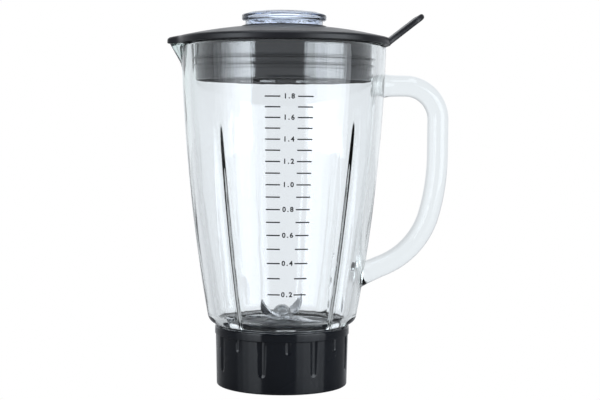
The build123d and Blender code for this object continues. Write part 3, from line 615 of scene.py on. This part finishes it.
def join_solid(piece, other):
    """Unites another closed piece with a piece, and deletes the other."""
    step = piece.modifiers.new("join", "BOOLEAN")
    step.operation = "UNION"
    step.solver = "EXACT"
    step.object = other
    bpy.context.view_layer.update()
    graph = bpy.context.evaluated_depsgraph_get()
    joined = bpy.data.meshes.new_from_object(piece.evaluated_get(graph))
    piece.modifiers.clear()
    piece.data = joined
    bpy.data.objects.remove(other)


def make_jug():
    """The jug and its handle as one body of glass."""
    jug = lathe("jug_glass_body", jug_section(), jug_angles(), shape=jug_shape, sharp=60.0)
    jug.data.materials.append(GLASS)
    rod = handle_rod()
    rod.data.materials.append(HANDLE_GLASS)
    join_solid(jug, rod)
    shade(jug.data, 50.0)
    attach(jug, "jug")
    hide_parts("glass_jug", "glass_handle")
    jug.visible_shadow = False
    return jug


# ---------------------------------------------------------------- volume scale
TICK_NEAR = math.radians(4.7)
TICK_FAR = math.radians(13.1)
TICK_THICKNESS = 0.9
DIGIT_SPACING = 1.4
DIGIT_BOLDNESS = 0.00017
INK_THICKNESS = 0.12
DIGIT_HEIGHT = 3.3


def scale_heights():
    """Heights of the printed marks, found from the CAD ticks themselves."""
    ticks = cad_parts["volume_scale"].data
    heights = sorted({round(v.co.z / MM, 1) for v in ticks.vertices})
    marks = []
    group = [heights[0]]
    for z in heights[1:]:
        if z - group[-1] > TICK_THICKNESS * 2:
            marks.append((group[0] + group[-1]) / 2)
            group = []
        group.append(z)
    marks.append((group[0] + group[-1]) / 2)
    return marks


def wrap_on_glass(work, proud):
    """Bends flat artwork (x across, z up) round the front of the glass."""
    for v in work.verts:
        z = v.co.z / MM
        radius = OUTSIDE.radius(z) + proud + v.co.y / MM
        a = FRONT + v.co.x / MM / OUTSIDE.radius(z)
        v.co = Vector((radius * math.cos(a), radius * math.sin(a), z)) * MM


def tick_artwork(work, height, side):
    """One printed tick, cut into short lengths so that it follows the glass."""
    radius = OUTSIDE.radius(height)
    steps = 12
    rows = []
    for i in range(steps + 1):
        x = side * radius * (TICK_NEAR + (TICK_FAR - TICK_NEAR) * i / steps)
        corners = [(x, y, height + dz) for y, dz in
                   ((0, -TICK_THICKNESS / 2), (0, TICK_THICKNESS / 2),
                    (INK_THICKNESS, TICK_THICKNESS / 2), (INK_THICKNESS, -TICK_THICKNESS / 2))]
        rows.append([work.verts.new(Vector(c) * MM) for c in corners])
    for near, far in zip(rows, rows[1:]):
        for k in range(4):
            m = (k + 1) % 4
            work.faces.new((near[k], near[m], far[m], far[k]))
    work.faces.new(rows[0])
    work.faces.new(reversed(rows[-1]))


def number_artwork(work, height, litres):
    """One printed number, widely spaced, centred between the ticks."""
    curve = bpy.data.curves.new("number", "FONT")
    curve.body = f"{litres:.1f}"
    curve.align_x = "CENTER"
    curve.align_y = "CENTER"
    curve.size = DIGIT_HEIGHT / 0.7 * MM
    curve.space_character = DIGIT_SPACING
    curve.offset = DIGIT_BOLDNESS
    curve.extrude = INK_THICKNESS / 2 * MM
    text = add_object("number", curve)
    bpy.context.view_layer.update()
    mesh = bpy.data.meshes.new_from_object(text.evaluated_get(bpy.context.evaluated_depsgraph_get()))
    upright = Matrix.Rotation(math.pi / 2, 4, "X")
    mesh.transform(Matrix.Translation((0, INK_THICKNESS / 2 * MM, height * MM)) @ upright)
    work.from_mesh(mesh)
    bpy.data.objects.remove(text)


def make_scale():
    """Ticks at every tenth of a litre and a number at every fifth."""
    work = bmesh.new()
    for i, height in enumerate(scale_heights()):
        for side in (-1, 1):
            tick_artwork(work, height, side)
        if i % 2 == 0:
            number_artwork(work, height, 0.2 + 0.1 * i)
    wrap_on_glass(work, 0.03)
    bmesh.ops.remove_doubles(work, verts=work.verts, dist=1e-7)
    bmesh.ops.recalc_face_normals(work, faces=work.faces)
    mesh = bpy.data.meshes.new("printed_scale")
    work.to_mesh(mesh)
    work.free()
    return dress(add_object("printed_scale", mesh), INK, "jug", "scale_ink", "volume_scale")


# ---------------------------------------------------------------- lid
LID_EDGE = 4.7
LID_CROWN = 14.1
LID_SHELL = 2.8
BRIM_INNER = LID_RADIUS - 18.0
BEAK_REACH = LID_RADIUS + 7.0
BEAK_RADIUS = 8.0
BEAK_DROOP = 0.3
BEAK_CHEEK_OFFSET = 28.0
BEAK_CHEEK_RADIUS = LID_RADIUS - BEAK_CHEEK_OFFSET - 3.0
FILLER_RADIUS = 28.9
FILLER_WALL = 2.3
FILLER_RIM = 1.0
FILLER_LEDGE = 3.7
FILLER_LEDGE_HEIGHT = 2.5
TAB_ANGLE = math.radians(38.0)
TAB_WIDTH = 34.0
TAB_THICKNESS = 4.8
TAB_REACH = LID_RADIUS + 24.7
TAB_INSET = 1.0


def dome_height(r):
    """Height of the lid's crowned outside at a radius."""
    return BRIM_BOTTOM + LID_CROWN - (LID_CROWN - LID_EDGE) * (r / LID_RADIUS) ** 2


def lid_edge(a):
    """Radius of the lid's outline at an angle: a circle drawn out to a beak over the spout."""
    offset = abs(angle_from(a, math.pi))
    tip = circle_hit(offset, BEAK_REACH - BEAK_RADIUS, BEAK_RADIUS, True) or 0.0
    spread = BEAK_REACH - BEAK_RADIUS - BEAK_CHEEK_OFFSET
    lean = math.asin((BEAK_CHEEK_RADIUS - BEAK_RADIUS) / spread)
    distance = BEAK_RADIUS + (BEAK_REACH - BEAK_RADIUS) * math.sin(lean)
    facing = math.cos(offset - (math.pi / 2 - lean))
    side = distance / facing if facing > 0.1 else 1e3
    tangent = math.atan2(BEAK_RADIUS * math.cos(lean), BEAK_REACH - BEAK_RADIUS + BEAK_RADIUS * math.sin(lean))
    beak = tip if offset < tangent else side
    if beak > BEAK_REACH + 1.0 or offset > math.radians(40.0):
        beak = 0.0
    return smooth_max(LID_RADIUS, beak, 1.2) if beak else LID_RADIUS


def lid_shape(a, r, z):
    """Draws the brim out to the beak, keeping the edge's thickness."""
    if r <= BRIM_INNER:
        return r, z
    share = (r - BRIM_INNER) / (LID_RADIUS - BRIM_INNER)
    reach = BRIM_INNER + share * (lid_edge(a) - BRIM_INNER)
    drop = BEAK_DROOP * (dome_height(r) - dome_height(reach)) * min(1.0, (z - BRIM_BOTTOM) / LID_EDGE)
    return reach, z - max(0.0, drop)


def lid_section():
    """Half section of the lid's cover: dome, brim, hollow and filler tube."""
    tube = FILLER_RADIUS + FILLER_WALL
    ledge_top = CAP_BOTTOM - 0.1
    tube_bottom = ledge_top - FILLER_LEDGE_HEIGHT
    top = dome_height(tube)
    dome = [tube + 1.6 + (LID_RADIUS - 1.0 - tube - 1.6) * i / 16 for i in range(17)]
    corners = [(FILLER_RADIUS, top + FILLER_RIM, 0.5), (tube, top + FILLER_RIM, 0.7)]
    corners += [(tube + 0.2, dome_height(tube), 0.6)]
    corners += [(r, dome_height(r), 0) for r in dome[:-1]]
    corners += [(LID_RADIUS, dome_height(LID_RADIUS), 2.4), (LID_RADIUS, BRIM_BOTTOM, 0.7)]
    corners += [(BRIM_INNER, BRIM_BOTTOM, 0.5)]
    hollow = [BRIM_INNER - (BRIM_INNER - tube) * i / 8 for i in range(9)]
    corners += [(r, dome_height(r) - LID_SHELL, 0) for r in hollow]
    corners += [(tube, tube_bottom, 0.4), (FILLER_RADIUS - FILLER_LEDGE, tube_bottom, 0.4)]
    corners += [(FILLER_RADIUS - FILLER_LEDGE, ledge_top, 0.4), (FILLER_RADIUS, ledge_top, 0.3)]
    return rounded(corners)


def lid_tab():
    """The lift tab: a rounded tongue that sweeps up out of the brim."""
    tilt = Vector((math.cos(TAB_ANGLE), 0, math.sin(TAB_ANGLE)))
    up = Vector((-math.sin(TAB_ANGLE), 0, math.cos(TAB_ANGLE)))
    root = Vector((LID_RADIUS - TAB_INSET - 1.2, 0, BRIM_BOTTOM - 0.6))
    length = (TAB_REACH - root.x) / tilt.x
    steps = 28
    ring_count = 40
    points = []
    for i in range(steps + 1):
        t = i / steps
        reach = length * (1 - (1 - t) ** 1.6) if i < steps else length
        corner = 9.0
        end = max(0.0, reach - (length - corner))
        half = TAB_WIDTH / 2 - corner + math.sqrt(max(0.0, corner ** 2 - end ** 2))
        rounding = math.sqrt(max(0.0, 1 - max(0.0, (reach - length + 3.0) / 3.0) ** 2))
        flare = 1.0 + 0.18 * math.exp(-reach / 4.0)
        thick = TAB_THICKNESS / 2 * max(0.04, rounding)
        centre = root + tilt * reach + up * TAB_THICKNESS / 2
        for k in range(ring_count):
            a = TAU * k / ring_count
            wide = math.copysign(abs(math.cos(a)) ** 0.35, math.cos(a)) * half * flare
            high = math.copysign(abs(math.sin(a)) ** 0.35, math.sin(a)) * thick
            dish = -0.5 * (1 - (wide / half) ** 2) if high > 0 and reach > 6 else 0.0
            points.append(centre + up * (high + dish) + Vector((0, wide, 0)))
    faces = []
    for i in range(steps):
        for k in range(ring_count):
            m = (k + 1) % ring_count
            low, high = i * ring_count, (i + 1) * ring_count
            faces.append((low + k, low + m, high + m, high + k))
    faces.append(tuple(range(ring_count)))
    faces.append(tuple(steps * ring_count + k for k in reversed(range(ring_count))))
    return mesh_piece("lid_tab_rod", points, faces)


def make_lid():
    """The lid's cover with its lift tab."""
    cover = lathe("lid_shell", lid_section(), 256, shape=lid_shape)
    join_solid(cover, lid_tab())
    shade(cover.data, 40.0)
    dress(cover, LID_BLACK, "lid", "black_satin", "lid_cover")


NOTCH_WIDTH = 28.8
NOTCH_HEIGHT = 2.7
NOTCH_DEPTH = 0.9
NOTCH_SLOPE = 1.0
NOTCH_RISE = 0.9
SEAL_PROUD = 0.15
SEAL_BAND_TOP = 9.5
SEAL_BAND_HEIGHT = 9.5
SEAL_GROOVE = 1.0
PLUG_WALL = 2.5
SEAL_LIP_PITCH = 4.9


def plug_shape(a, r, z):
    """Presses the locking notch into the plug's lower front edge."""
    across = abs(angle_from(a, FRONT)) * PLUG_RADIUS
    rise = z - PLUG_BOTTOM
    if r > PLUG_RADIUS - 0.01 and NOTCH_RISE < rise < NOTCH_HEIGHT + 0.3 and across < NOTCH_WIDTH / 2:
        r -= NOTCH_DEPTH * min(1.0, (rise - NOTCH_RISE) / NOTCH_SLOPE) if rise < NOTCH_HEIGHT else 0.0
    return r, z


def make_plug():
    """The glossy tray under the lid."""
    hole = FILLER_RADIUS + FILLER_WALL + 0.3
    inner = PLUG_RADIUS - PLUG_WALL
    groove = PLUG_RADIUS - SEAL_GROOVE
    band_top = BRIM_BOTTOM - SEAL_BAND_TOP
    band_bottom = band_top - SEAL_BAND_HEIGHT
    floor = PLUG_BOTTOM + PLUG_WALL
    notch_top = PLUG_BOTTOM + NOTCH_HEIGHT
    corners = [
        (hole, PLUG_BOTTOM, 0.5), (PLUG_RADIUS, PLUG_BOTTOM, 0.8), (PLUG_RADIUS, PLUG_BOTTOM + NOTCH_RISE, 0),
        (PLUG_RADIUS, PLUG_BOTTOM + NOTCH_RISE + NOTCH_SLOPE, 0), (PLUG_RADIUS, notch_top - 0.1, 0),
        (PLUG_RADIUS, notch_top, 0), (PLUG_RADIUS, band_bottom, 0.3), (groove, band_bottom, 0),
        (groove, band_top, 0), (PLUG_RADIUS, band_top, 0.3), (PLUG_RADIUS, BRIM_BOTTOM, 0),
        (inner, BRIM_BOTTOM, 0), (inner, floor, 1.0), (hole + PLUG_WALL, floor, 1.0),
        (hole + PLUG_WALL, CAP_BOTTOM, 0.3), (hole, CAP_BOTTOM, 0.3),
    ]
    edge = NOTCH_WIDTH / 2 / PLUG_RADIUS
    angles = [TAU * i / 240 for i in range(240)]
    angles += [FRONT + side * (edge + off) for side in (-1, 1) for off in (-0.0008, 0.0008)]
    plug = lathe("plug_tray", rounded(corners), sorted(angles), shape=plug_shape)
    dress(plug, PLUG_BLACK, "lid", "black_gloss", "lid_plug")
    # The second material is the painted-shade black, given below to the plug's faces that look down.
    plug.data.materials.append(UNDERSIDE_SHADE_BLACK)
    for face in plug.data.polygons:
        if face.normal.z < -0.9 and face.center.z < (PLUG_BOTTOM + 1.0) * MM:
            face.material_index = 1


def make_lid_seal():
    """The seal band with its two lips."""
    band_top = BRIM_BOTTOM - SEAL_BAND_TOP
    band_bottom = band_top - SEAL_BAND_HEIGHT
    root = PLUG_RADIUS - SEAL_GROOVE
    face = PLUG_RADIUS + SEAL_PROUD
    corners = [(root, band_bottom, 0), (face, band_bottom, 0.3)]
    for top in (band_top - 0.8 - SEAL_LIP_PITCH, band_top - 0.8):
        reach = INSIDE.radius(top) - 0.35
        corners += [(face, top - 1.7, 0.3), (reach, top - 1.2, 0.25)]
        corners += [(reach, top - 0.6, 0.25), (face, top - 0.1, 0.3)]
    corners += [(face, band_top, 0.2), (root, band_top, 0)]
    dress(lathe("seal_lips", rounded(corners), 192), LIP_BLACK, "lid", "seal_rubber", "lid_seal")


# ---------------------------------------------------------------- filler cap
CAP_RADIUS = 28.3
CAP_WALL = 2.2
CAP_BEAD_RADIUS = 30.9
CAP_BEAD_HEIGHT = 4.0
CAP_CROWN_RADIUS = 25.3
CAP_CROWN_HEIGHT = 1.6


def make_cap():
    """The clear cap: a cup standing upside down, with a grip bead."""
    bore = CAP_RADIUS - CAP_WALL
    bead_top = CAP_TOP - CAP_CROWN_HEIGHT
    bead_bottom = bead_top - CAP_BEAD_HEIGHT
    roof = CAP_TOP - CAP_WALL
    groove = CAP_BOTTOM + 5.4
    corners = [
        (0, CAP_TOP - 0.6, 0), (CAP_CROWN_RADIUS - 5.0, CAP_TOP - 0.6, 0.5),
        (CAP_CROWN_RADIUS - 4.0, CAP_TOP, 0.5), (CAP_CROWN_RADIUS, CAP_TOP - 0.1, 2.0),
        (CAP_RADIUS, bead_top + 0.3, 0.6), (CAP_BEAD_RADIUS, bead_top, 1.3),
        (CAP_BEAD_RADIUS, bead_bottom, 1.3), (CAP_RADIUS, bead_bottom - 0.6, 0.5),
        (CAP_RADIUS, groove + 0.9, 0.2), (CAP_RADIUS - 0.7, groove + 0.6, 0.3),
        (CAP_RADIUS - 0.7, groove - 0.6, 0.3),
        (CAP_RADIUS, groove - 0.9, 0.2), (CAP_RADIUS, CAP_BOTTOM, 0.6), (bore, CAP_BOTTOM, 0.6),
        (bore, roof - 0.4, 2.5), (0, roof - 0.4, 0),
    ]
    cap = lathe("cap_cup", rounded(corners, closed=False, arc_step=9.0), 192, closed=False)
    dress(cap, CAP_PLASTIC, "cap", "clear_plastic", "measuring_cap")
    cap.visible_shadow = False


# ---------------------------------------------------------------- collar
FLUTE_COUNT = 8
FLUTE_PHASE = FRONT + math.radians(-20.0)
SOCKET_RADIUS = 44.0
SOCKET_DEPTH = 13.0
LEDGE_TOP = SOCKET_DEPTH + 2.9
LEDGE_RADIUS = 37.0
COLLAR_BORE = NECK_RADIUS + RIDGE_HEIGHT + 0.5
COLLAR_FOOT_RADIUS = 48.0
COLLAR_BODY_RADIUS = 48.8
COLLAR_RIM_HEIGHT = 6.0
LONG_FLUTE = (4.5, 1.2, 14.5, 0.0)
SHORT_FLUTE = (3.0, 0.9, 30.5, 0.5)


def flute_depth(a, r, z):
    """How deep the flutes cut at a point of the collar's outside."""
    rim_bottom = COLLAR_TOP - COLLAR_RIM_HEIGHT
    deepest = 0.0
    for radius, depth, foot, shift in (LONG_FLUTE, SHORT_FLUTE):
        centre = COLLAR_BODY_RADIUS - depth + radius
        step = TAU / FLUTE_COUNT
        offset = (a - FLUTE_PHASE - shift * step + step / 2) % step - step / 2
        below = max(0.0, foot - z)
        if below >= radius or z > rim_bottom:
            continue
        cut = circle_hit(offset, centre, math.sqrt(radius ** 2 - below ** 2), False)
        if cut and cut < r:
            deepest = max(deepest, r - cut)
    return deepest


def collar_shape(a, r, z):
    """Cuts the flutes and raises the thread in the collar's turned section."""
    if r > COLLAR_BORE + 1.2 and z > 2.0:
        return r - flute_depth(a, r, z), z
    if abs(r - COLLAR_BORE) < 0.01 and z > LEDGE_TOP + 1.0:
        lift = RIDGE_ROOT / 2 + RIDGE_CREST / 2 + 0.25 + (RIDGE_ROOT - RIDGE_CREST) / 2
        return r - ridge_at(a, z, NECK_BOTTOM + NECK_THREAD_RISE + lift), z
    return r, z


def make_collar():
    """The fluted collar with its thread and its ledge."""
    rim_bottom = COLLAR_TOP - COLLAR_RIM_HEIGHT
    body_heights = [2.5 + (rim_bottom - 0.7 - 2.5) * i / 72 for i in range(73)]
    taper = (COLLAR_BODY_RADIUS - COLLAR_FOOT_RADIUS) / rim_bottom
    thread_heights = [COLLAR_TOP - 1.2 - 0.45 * i for i in range(58)]
    corners = [(SOCKET_RADIUS, 0, 0.5), (COLLAR_FOOT_RADIUS, 0, 0.9)]
    corners += [(COLLAR_FOOT_RADIUS + taper * z, z, 0) for z in body_heights]
    corners += [(COLLAR_BODY_RADIUS, rim_bottom - 0.35, 0), (COLLAR_RIM_RADIUS, rim_bottom + 0.15, 0.25)]
    corners += [(COLLAR_RIM_RADIUS, COLLAR_TOP, 1.1), (COLLAR_BORE, COLLAR_TOP, 0.6)]
    corners += [(COLLAR_BORE, z, 0) for z in thread_heights]
    corners += [(COLLAR_BORE, LEDGE_TOP, 0), (LEDGE_RADIUS, LEDGE_TOP, 0.4), (LEDGE_RADIUS, SOCKET_DEPTH, 0.4)]
    corners += [(SOCKET_RADIUS, SOCKET_DEPTH, 0.6)]
    collar = lathe("collar_shell", rounded(corners), 480, shape=collar_shape)
    dress(collar, GLOSS_BLACK, "collar", "black_gloss", "collar_ring")


# ---------------------------------------------------------------- blade unit
CARRIER_RADIUS = 37.3
CARRIER_WALL = 2.5
CARRIER_FLANGE = 3.0
HOUSING_RADIUS = 11.0


def make_carrier():
    """The dark floor of the jug with its rounded edge, rings and hollow underside."""
    inner = CARRIER_RADIUS - CARRIER_WALL
    flange_top = CARRIER_BOTTOM + CARRIER_FLANGE
    plate = CARRIER_TOP - 3.0
    boss = HOUSING_RADIUS + 3.0
    corners = [
        (inner, CARRIER_BOTTOM, 0.3), (NECK_RADIUS, CARRIER_BOTTOM, 0.4), (NECK_RADIUS, flange_top, 0.4),
        (CARRIER_RADIUS, flange_top, 0.4), (CARRIER_RADIUS, CARRIER_TOP, 1.4), (30.5, CARRIER_TOP, 0.3),
        (29.9, CARRIER_TOP - 0.5, 0.3), (28.1, CARRIER_TOP - 0.5, 0.3), (27.5, CARRIER_TOP, 0.3),
        (HOUSING_RADIUS, CARRIER_TOP, 0.2), (HOUSING_RADIUS, CARRIER_TOP - 16.0, 0.3),
        (boss, CARRIER_TOP - 16.0, 0.5), (boss, plate, 1.5), (inner, plate, 2.0),
    ]
    floor = lathe("carrier_floor", rounded(corners), 192)
    dress(floor, CARRIER_BLACK, "blade_unit", "carrier_plastic", "blade_carrier")


BLADE_THICKNESS = 1.5
BLADE_HUB = 9.0
LOWER_REACH = 36.0
LOWER_ROOT = 13.0
LOWER_TIP = 4.0
LOWER_DROOP = 2.8
LOWER_ANGLE = math.radians(-36.0)
UPPER_BEND = 15.5
UPPER_CURL = math.radians(82.0)
UPPER_ROOT = 12.0
UPPER_TIP = 4.0
UPPER_ANGLE = math.radians(54.0)
TOOTH_PITCH = 2.6
TOOTH_DEPTH = 0.9


def blade_edges(s, reach, root, tip):
    """Back and cutting edges of an arm at a distance s from the axis."""
    t = max(0.0, (s - BLADE_HUB) / (reach - BLADE_HUB))
    back = root / 2 + (tip - root) * t ** 1.3 * 0.9
    front = -root / 2 + root * 0.32 * t ** 2.2
    if s < BLADE_HUB:
        return back, front
    near_tip = max(0.0, (s - (reach - 7.0)) / 7.0)
    pinch = math.sqrt(max(0.0, 1 - near_tip ** 2))
    middle = (back + front) / 2
    tooth = abs(((s - BLADE_HUB) / TOOTH_PITCH) % 1.0 - 0.5) * 2 * TOOTH_DEPTH
    if s > reach - 6.0:
        tooth *= 0.2
    return middle + (back - middle) * pinch, middle + (front + tooth - middle) * pinch


def make_blade(name, reach, root, tip, bottom, angle, path, node):
    """A two-armed blade: flat hub, serrated and ground cutting edges, arms bent along path."""
    points = []
    faces = []
    lanes = (0.0, 0.04, 0.5, 0.78, 1.0)
    steps = 150
    for arm in (1, -1):
        base = len(points)
        for i in range(steps + 1):
            s = reach * i / steps
            back, front = blade_edges(s, reach, root, tip)
            x, z, lean = path(s)
            for level in (0, 1):
                for lane in lanes:
                    across = back + (front - back) * lane
                    ground = max(0.0, (lane - 0.78) / 0.22) if s > BLADE_HUB * 0.8 else 0.0
                    thick = BLADE_THICKNESS * (1.0 - 0.85 * ground) * level + 0.0
                    spot = Vector((x - math.sin(lean) * thick, across, z + math.cos(lean) * thick))
                    points.append((arm * spot.x, arm * spot.y, bottom + spot.z))
        width = len(lanes)
        row = 2 * width
        for i in range(steps):
            a = base + i * row
            b = a + row
            for k in range(width - 1):
                faces.append((a + k, b + k, b + k + 1, a + k + 1))
                faces.append((a + width + k, a + width + k + 1, b + width + k + 1, b + width + k))
            faces.append((a, a + width, b + width, b))
            faces.append((a + width - 1, b + width - 1, b + row - 1, a + row - 1))
        last = base + steps * row
        for k in range(width - 1):
            faces.append((last + k, last + width + k, last + width + k + 1, last + k + 1))
    turn = Matrix.Rotation(angle, 4, "Z")
    points = [turn @ Vector(p) for p in points]
    blade = mesh_piece(name, points, faces, 28.0)
    dress(blade, BLADE_STEEL, "rotor", "blade_steel", node)


def drooping(s):
    """Side view of the long arms: flat hub, then a straight fall to the tips."""
    if s < BLADE_HUB:
        return s, 0.0, 0.0
    fall = LOWER_DROOP / (LOWER_REACH - BLADE_HUB)
    return s, -fall * (s - BLADE_HUB), -math.atan(fall)


def curling(s):
    """Side view of the short arms: flat hub, then a round bend up."""
    if s < BLADE_HUB:
        return s, 0.0, 0.0
    turn = UPPER_CURL * (s - BLADE_HUB) / UPPER_BEND
    return BLADE_HUB + UPPER_BEND * math.sin(turn), UPPER_BEND * (1 - math.cos(turn)), turn


def make_blades():
    """The long drooping pair and the short pair that curls up."""
    lower = bottom_of("lower_blades") + LOWER_DROOP
    upper = bottom_of("upper_blades")
    make_blade("long_blades", LOWER_REACH, LOWER_ROOT, LOWER_TIP, lower, LOWER_ANGLE, drooping, "lower_blades")
    reach = BLADE_HUB + UPPER_BEND
    make_blade("short_blades", reach, UPPER_ROOT, UPPER_TIP, upper, UPPER_ANGLE, curling, "upper_blades")


# ---------------------------------------------------------------- CAD nodes that stay
KEPT = {
    "carrier_gasket": SEAL_BLACK,
    "bearing_housing": TURNED_STEEL,
    "housing_nut": TURNED_STEEL,
    "upper_bush": BRONZE,
    "lower_bush": BRONZE,
    "shaft_seal": SEAL_BLACK,
    "cap_seal": SEAL_BLACK,
    "spindle": TURNED_STEEL,
    "bottom_washer": TURNED_STEEL,
    "blade_spacer": TURNED_STEEL,
    "lock_washer": TURNED_STEEL,
    "cap_nut": TURNED_STEEL,
    "drive_coupling": COUPLING_BLACK,
    "coupling_insert": BRONZE,
    "thrust_washer": TURNED_STEEL,
}


def dress_kept_nodes():
    """Gives each CAD node that stays its procedural material."""
    for name, material in KEPT.items():
        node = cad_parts[name]
        node.data.materials.clear()
        node.data.materials.append(material)


# ---------------------------------------------------------------- studio
FLOOR_SIZE = 4.0
CAMERA_DISTANCE = 0.974
CAMERA_HEIGHT = 0.1893
CAMERA_AZIMUTH = math.radians(-3.0)
CAMERA_YAW = math.radians(-0.74)
CAMERA_PITCH = math.radians(3.15)
CAMERA_ROLL = math.radians(0.45)
LENS = 79.5
LEFT_FADE = (1.0, 0.85, 0.5, 0.2)
RIGHT_FADE = (0.65, 0.9, 1.0, 0.8)
LEFT_START = -44.0
LEFT_STEP = 11.5
RIGHT_START = 28.5
RIGHT_STEP = 13.0
LEFT_WATTS = 2.3
RIGHT_WATTS = 2.5
REFLECTED = ((-1.0, 0.08), (0.1, 0.11), (0.6, 0.32), (0.86, 0.95))
REFRACTED = ((-1.0, 0.42), (0.1, 0.5), (0.6, 0.68), (0.86, 0.96))


def surroundings(tree, direction, levels):
    """Colour of the surroundings along a direction: white behind the object, dim beside and before it."""
    split = tree.nodes.new("ShaderNodeSeparateXYZ")
    spread = tree.nodes.new("ShaderNodeMapRange")
    ramp = tree.nodes.new("ShaderNodeValToRGB")
    spread.inputs["From Min"].default_value = -1.0
    tree.links.new(direction, split.inputs["Vector"])
    tree.links.new(split.outputs["Y"], spread.inputs["Value"])
    tree.links.new(spread.outputs["Result"], ramp.inputs["Fac"])
    elements = ramp.color_ramp.elements
    while len(elements) < len(levels):
        elements.new(0.5)
    for element, (position, level) in zip(elements, levels):
        element.position = (position + 1.0) / 2
        element.color = (level * 0.945, level * 0.97, level * 1.005, 1.0)
    return ramp.outputs["Color"]


def make_floor():
    """A white table top: bright to the eye and through glass, paler in reflections."""
    bpy.ops.mesh.primitive_plane_add(size=FLOOR_SIZE, location=(0, 0, -0.0002))
    floor = bpy.context.object
    floor.name = "table_top"
    made = Shader("table_white", Base_Color=(0.3, 0.3, 0.31, 1.0))
    made.roughness(made.noise(8.0, 2.0), 0.2, 0.3)
    tree = made.tree
    heading = made.node("ShaderNodeVectorMath")
    heading.operation = "NORMALIZE"
    made.link(made.place, heading.inputs[0])
    glow = made.node("ShaderNodeEmission")
    made.link(surroundings(tree, heading.outputs["Vector"], REFRACTED), glow.inputs["Color"])
    white = made.node("ShaderNodeEmission")
    sight = made.node("ShaderNodeLightPath")
    through = made.node("ShaderNodeMixShader")
    seen = made.node("ShaderNodeMixShader")
    made.link(sight.outputs["Is Transmission Ray"], through.inputs["Fac"])
    made.link(made.surface.outputs["BSDF"], through.inputs[1])
    made.link(glow.outputs["Emission"], through.inputs[2])
    made.link(sight.outputs["Is Camera Ray"], seen.inputs["Fac"])
    made.link(through.outputs["Shader"], seen.inputs[1])
    made.link(white.outputs["Emission"], seen.inputs[2])
    made.link(seen.outputs["Shader"], tree.nodes["Material Output"].inputs["Surface"])
    floor.data.materials.append(made.material)


def make_world():
    """White surroundings to the eye, with the studio's own brightness for everything else."""
    world = bpy.data.worlds.new("studio")
    bpy.context.scene.world = world
    world.use_nodes = True
    tree = world.node_tree
    back = tree.nodes["Background"]
    place = tree.nodes.new("ShaderNodeTexCoord")
    tree.links.new(surroundings(tree, place.outputs["Generated"], REFLECTED), back.inputs["Color"])
    sight = tree.nodes.new("ShaderNodeLightPath")
    through = tree.nodes.new("ShaderNodeBackground")
    tree.links.new(surroundings(tree, place.outputs["Generated"], REFRACTED), through.inputs["Color"])
    plain = tree.nodes.new("ShaderNodeBackground")
    plain.inputs["Color"].default_value = (1.0, 1.0, 1.0, 1.0)
    bent = tree.nodes.new("ShaderNodeMixShader")
    seen = tree.nodes.new("ShaderNodeMixShader")
    tree.links.new(sight.outputs["Is Transmission Ray"], bent.inputs["Fac"])
    tree.links.new(back.outputs["Background"], bent.inputs[1])
    tree.links.new(through.outputs["Background"], bent.inputs[2])
    tree.links.new(sight.outputs["Is Camera Ray"], seen.inputs["Fac"])
    tree.links.new(bent.outputs["Shader"], seen.inputs[1])
    tree.links.new(plain.outputs["Background"], seen.inputs[2])
    tree.links.new(seen.outputs["Shader"], tree.nodes["World Output"].inputs["Surface"])


def softbox(name, azimuth, elevation, distance, width, height, watts):
    """A rectangular area light that faces the jug's middle."""
    target = Vector((0, 0, 0.14))
    a = math.radians(azimuth)
    e = math.radians(elevation)
    away = Vector((math.sin(a) * math.cos(e), -math.cos(a) * math.cos(e), math.sin(e)))
    data = bpy.data.lights.new(name, "AREA")
    data.shape = "RECTANGLE"
    data.size = width
    data.size_y = height
    data.energy = watts
    data.color = (0.88, 0.94, 1.0)
    light = bpy.data.objects.new(name, data)
    bpy.context.scene.collection.objects.link(light)
    light.location = target + away * distance
    light.rotation_euler = away.to_track_quat("Z", "Y").to_euler()


def make_lights():
    """Two upright softboxes at the front corners and one overhead."""
    for i in range(len(LEFT_FADE)):
        left, right = LEFT_START - LEFT_STEP * i, RIGHT_START + RIGHT_STEP * i
        softbox(f"left_softbox_{i}", left, 6.0, 1.1, 0.225, 1.0, LEFT_WATTS * LEFT_FADE[i])
        softbox(f"right_softbox_{i}", right, 6.0, 1.1, 0.262, 1.0, RIGHT_WATTS * RIGHT_FADE[i])
    softbox("overhead", 0.0, 80.0, 1.3, 1.2, 1.2, 8.0)


def make_camera():
    """The camera in front, a little above the jug's middle."""
    data = bpy.data.cameras.new("camera")
    data.lens = LENS
    data.sensor_width = 36.0
    data.clip_start = 0.01
    data.clip_end = 50.0
    camera = bpy.data.objects.new("camera", data)
    bpy.context.scene.collection.objects.link(camera)
    place = Vector((math.sin(CAMERA_AZIMUTH), -math.cos(CAMERA_AZIMUTH), 0)) * CAMERA_DISTANCE
    place.z = CAMERA_HEIGHT
    aim = Matrix.Rotation(CAMERA_AZIMUTH + CAMERA_YAW, 4, "Z")
    aim = aim @ Matrix.Rotation(math.pi / 2 - CAMERA_PITCH, 4, "X")
    camera.matrix_world = Matrix.Translation(place) @ aim @ Matrix.Rotation(CAMERA_ROLL, 4, "Z")
    bpy.context.scene.camera = camera


def make_studio():
    """Floor, surroundings, lights, camera and plain colour handling."""
    make_floor()
    make_world()
    make_lights()
    make_camera()
    bpy.context.scene.view_settings.view_transform = "Standard"


# ---------------------------------------------------------------- assembly
make_jug()
make_scale()
make_lid()
make_plug()
make_lid_seal()
make_cap()
make_collar()
make_carrier()
make_blades()
dress_kept_nodes()
make_studio()
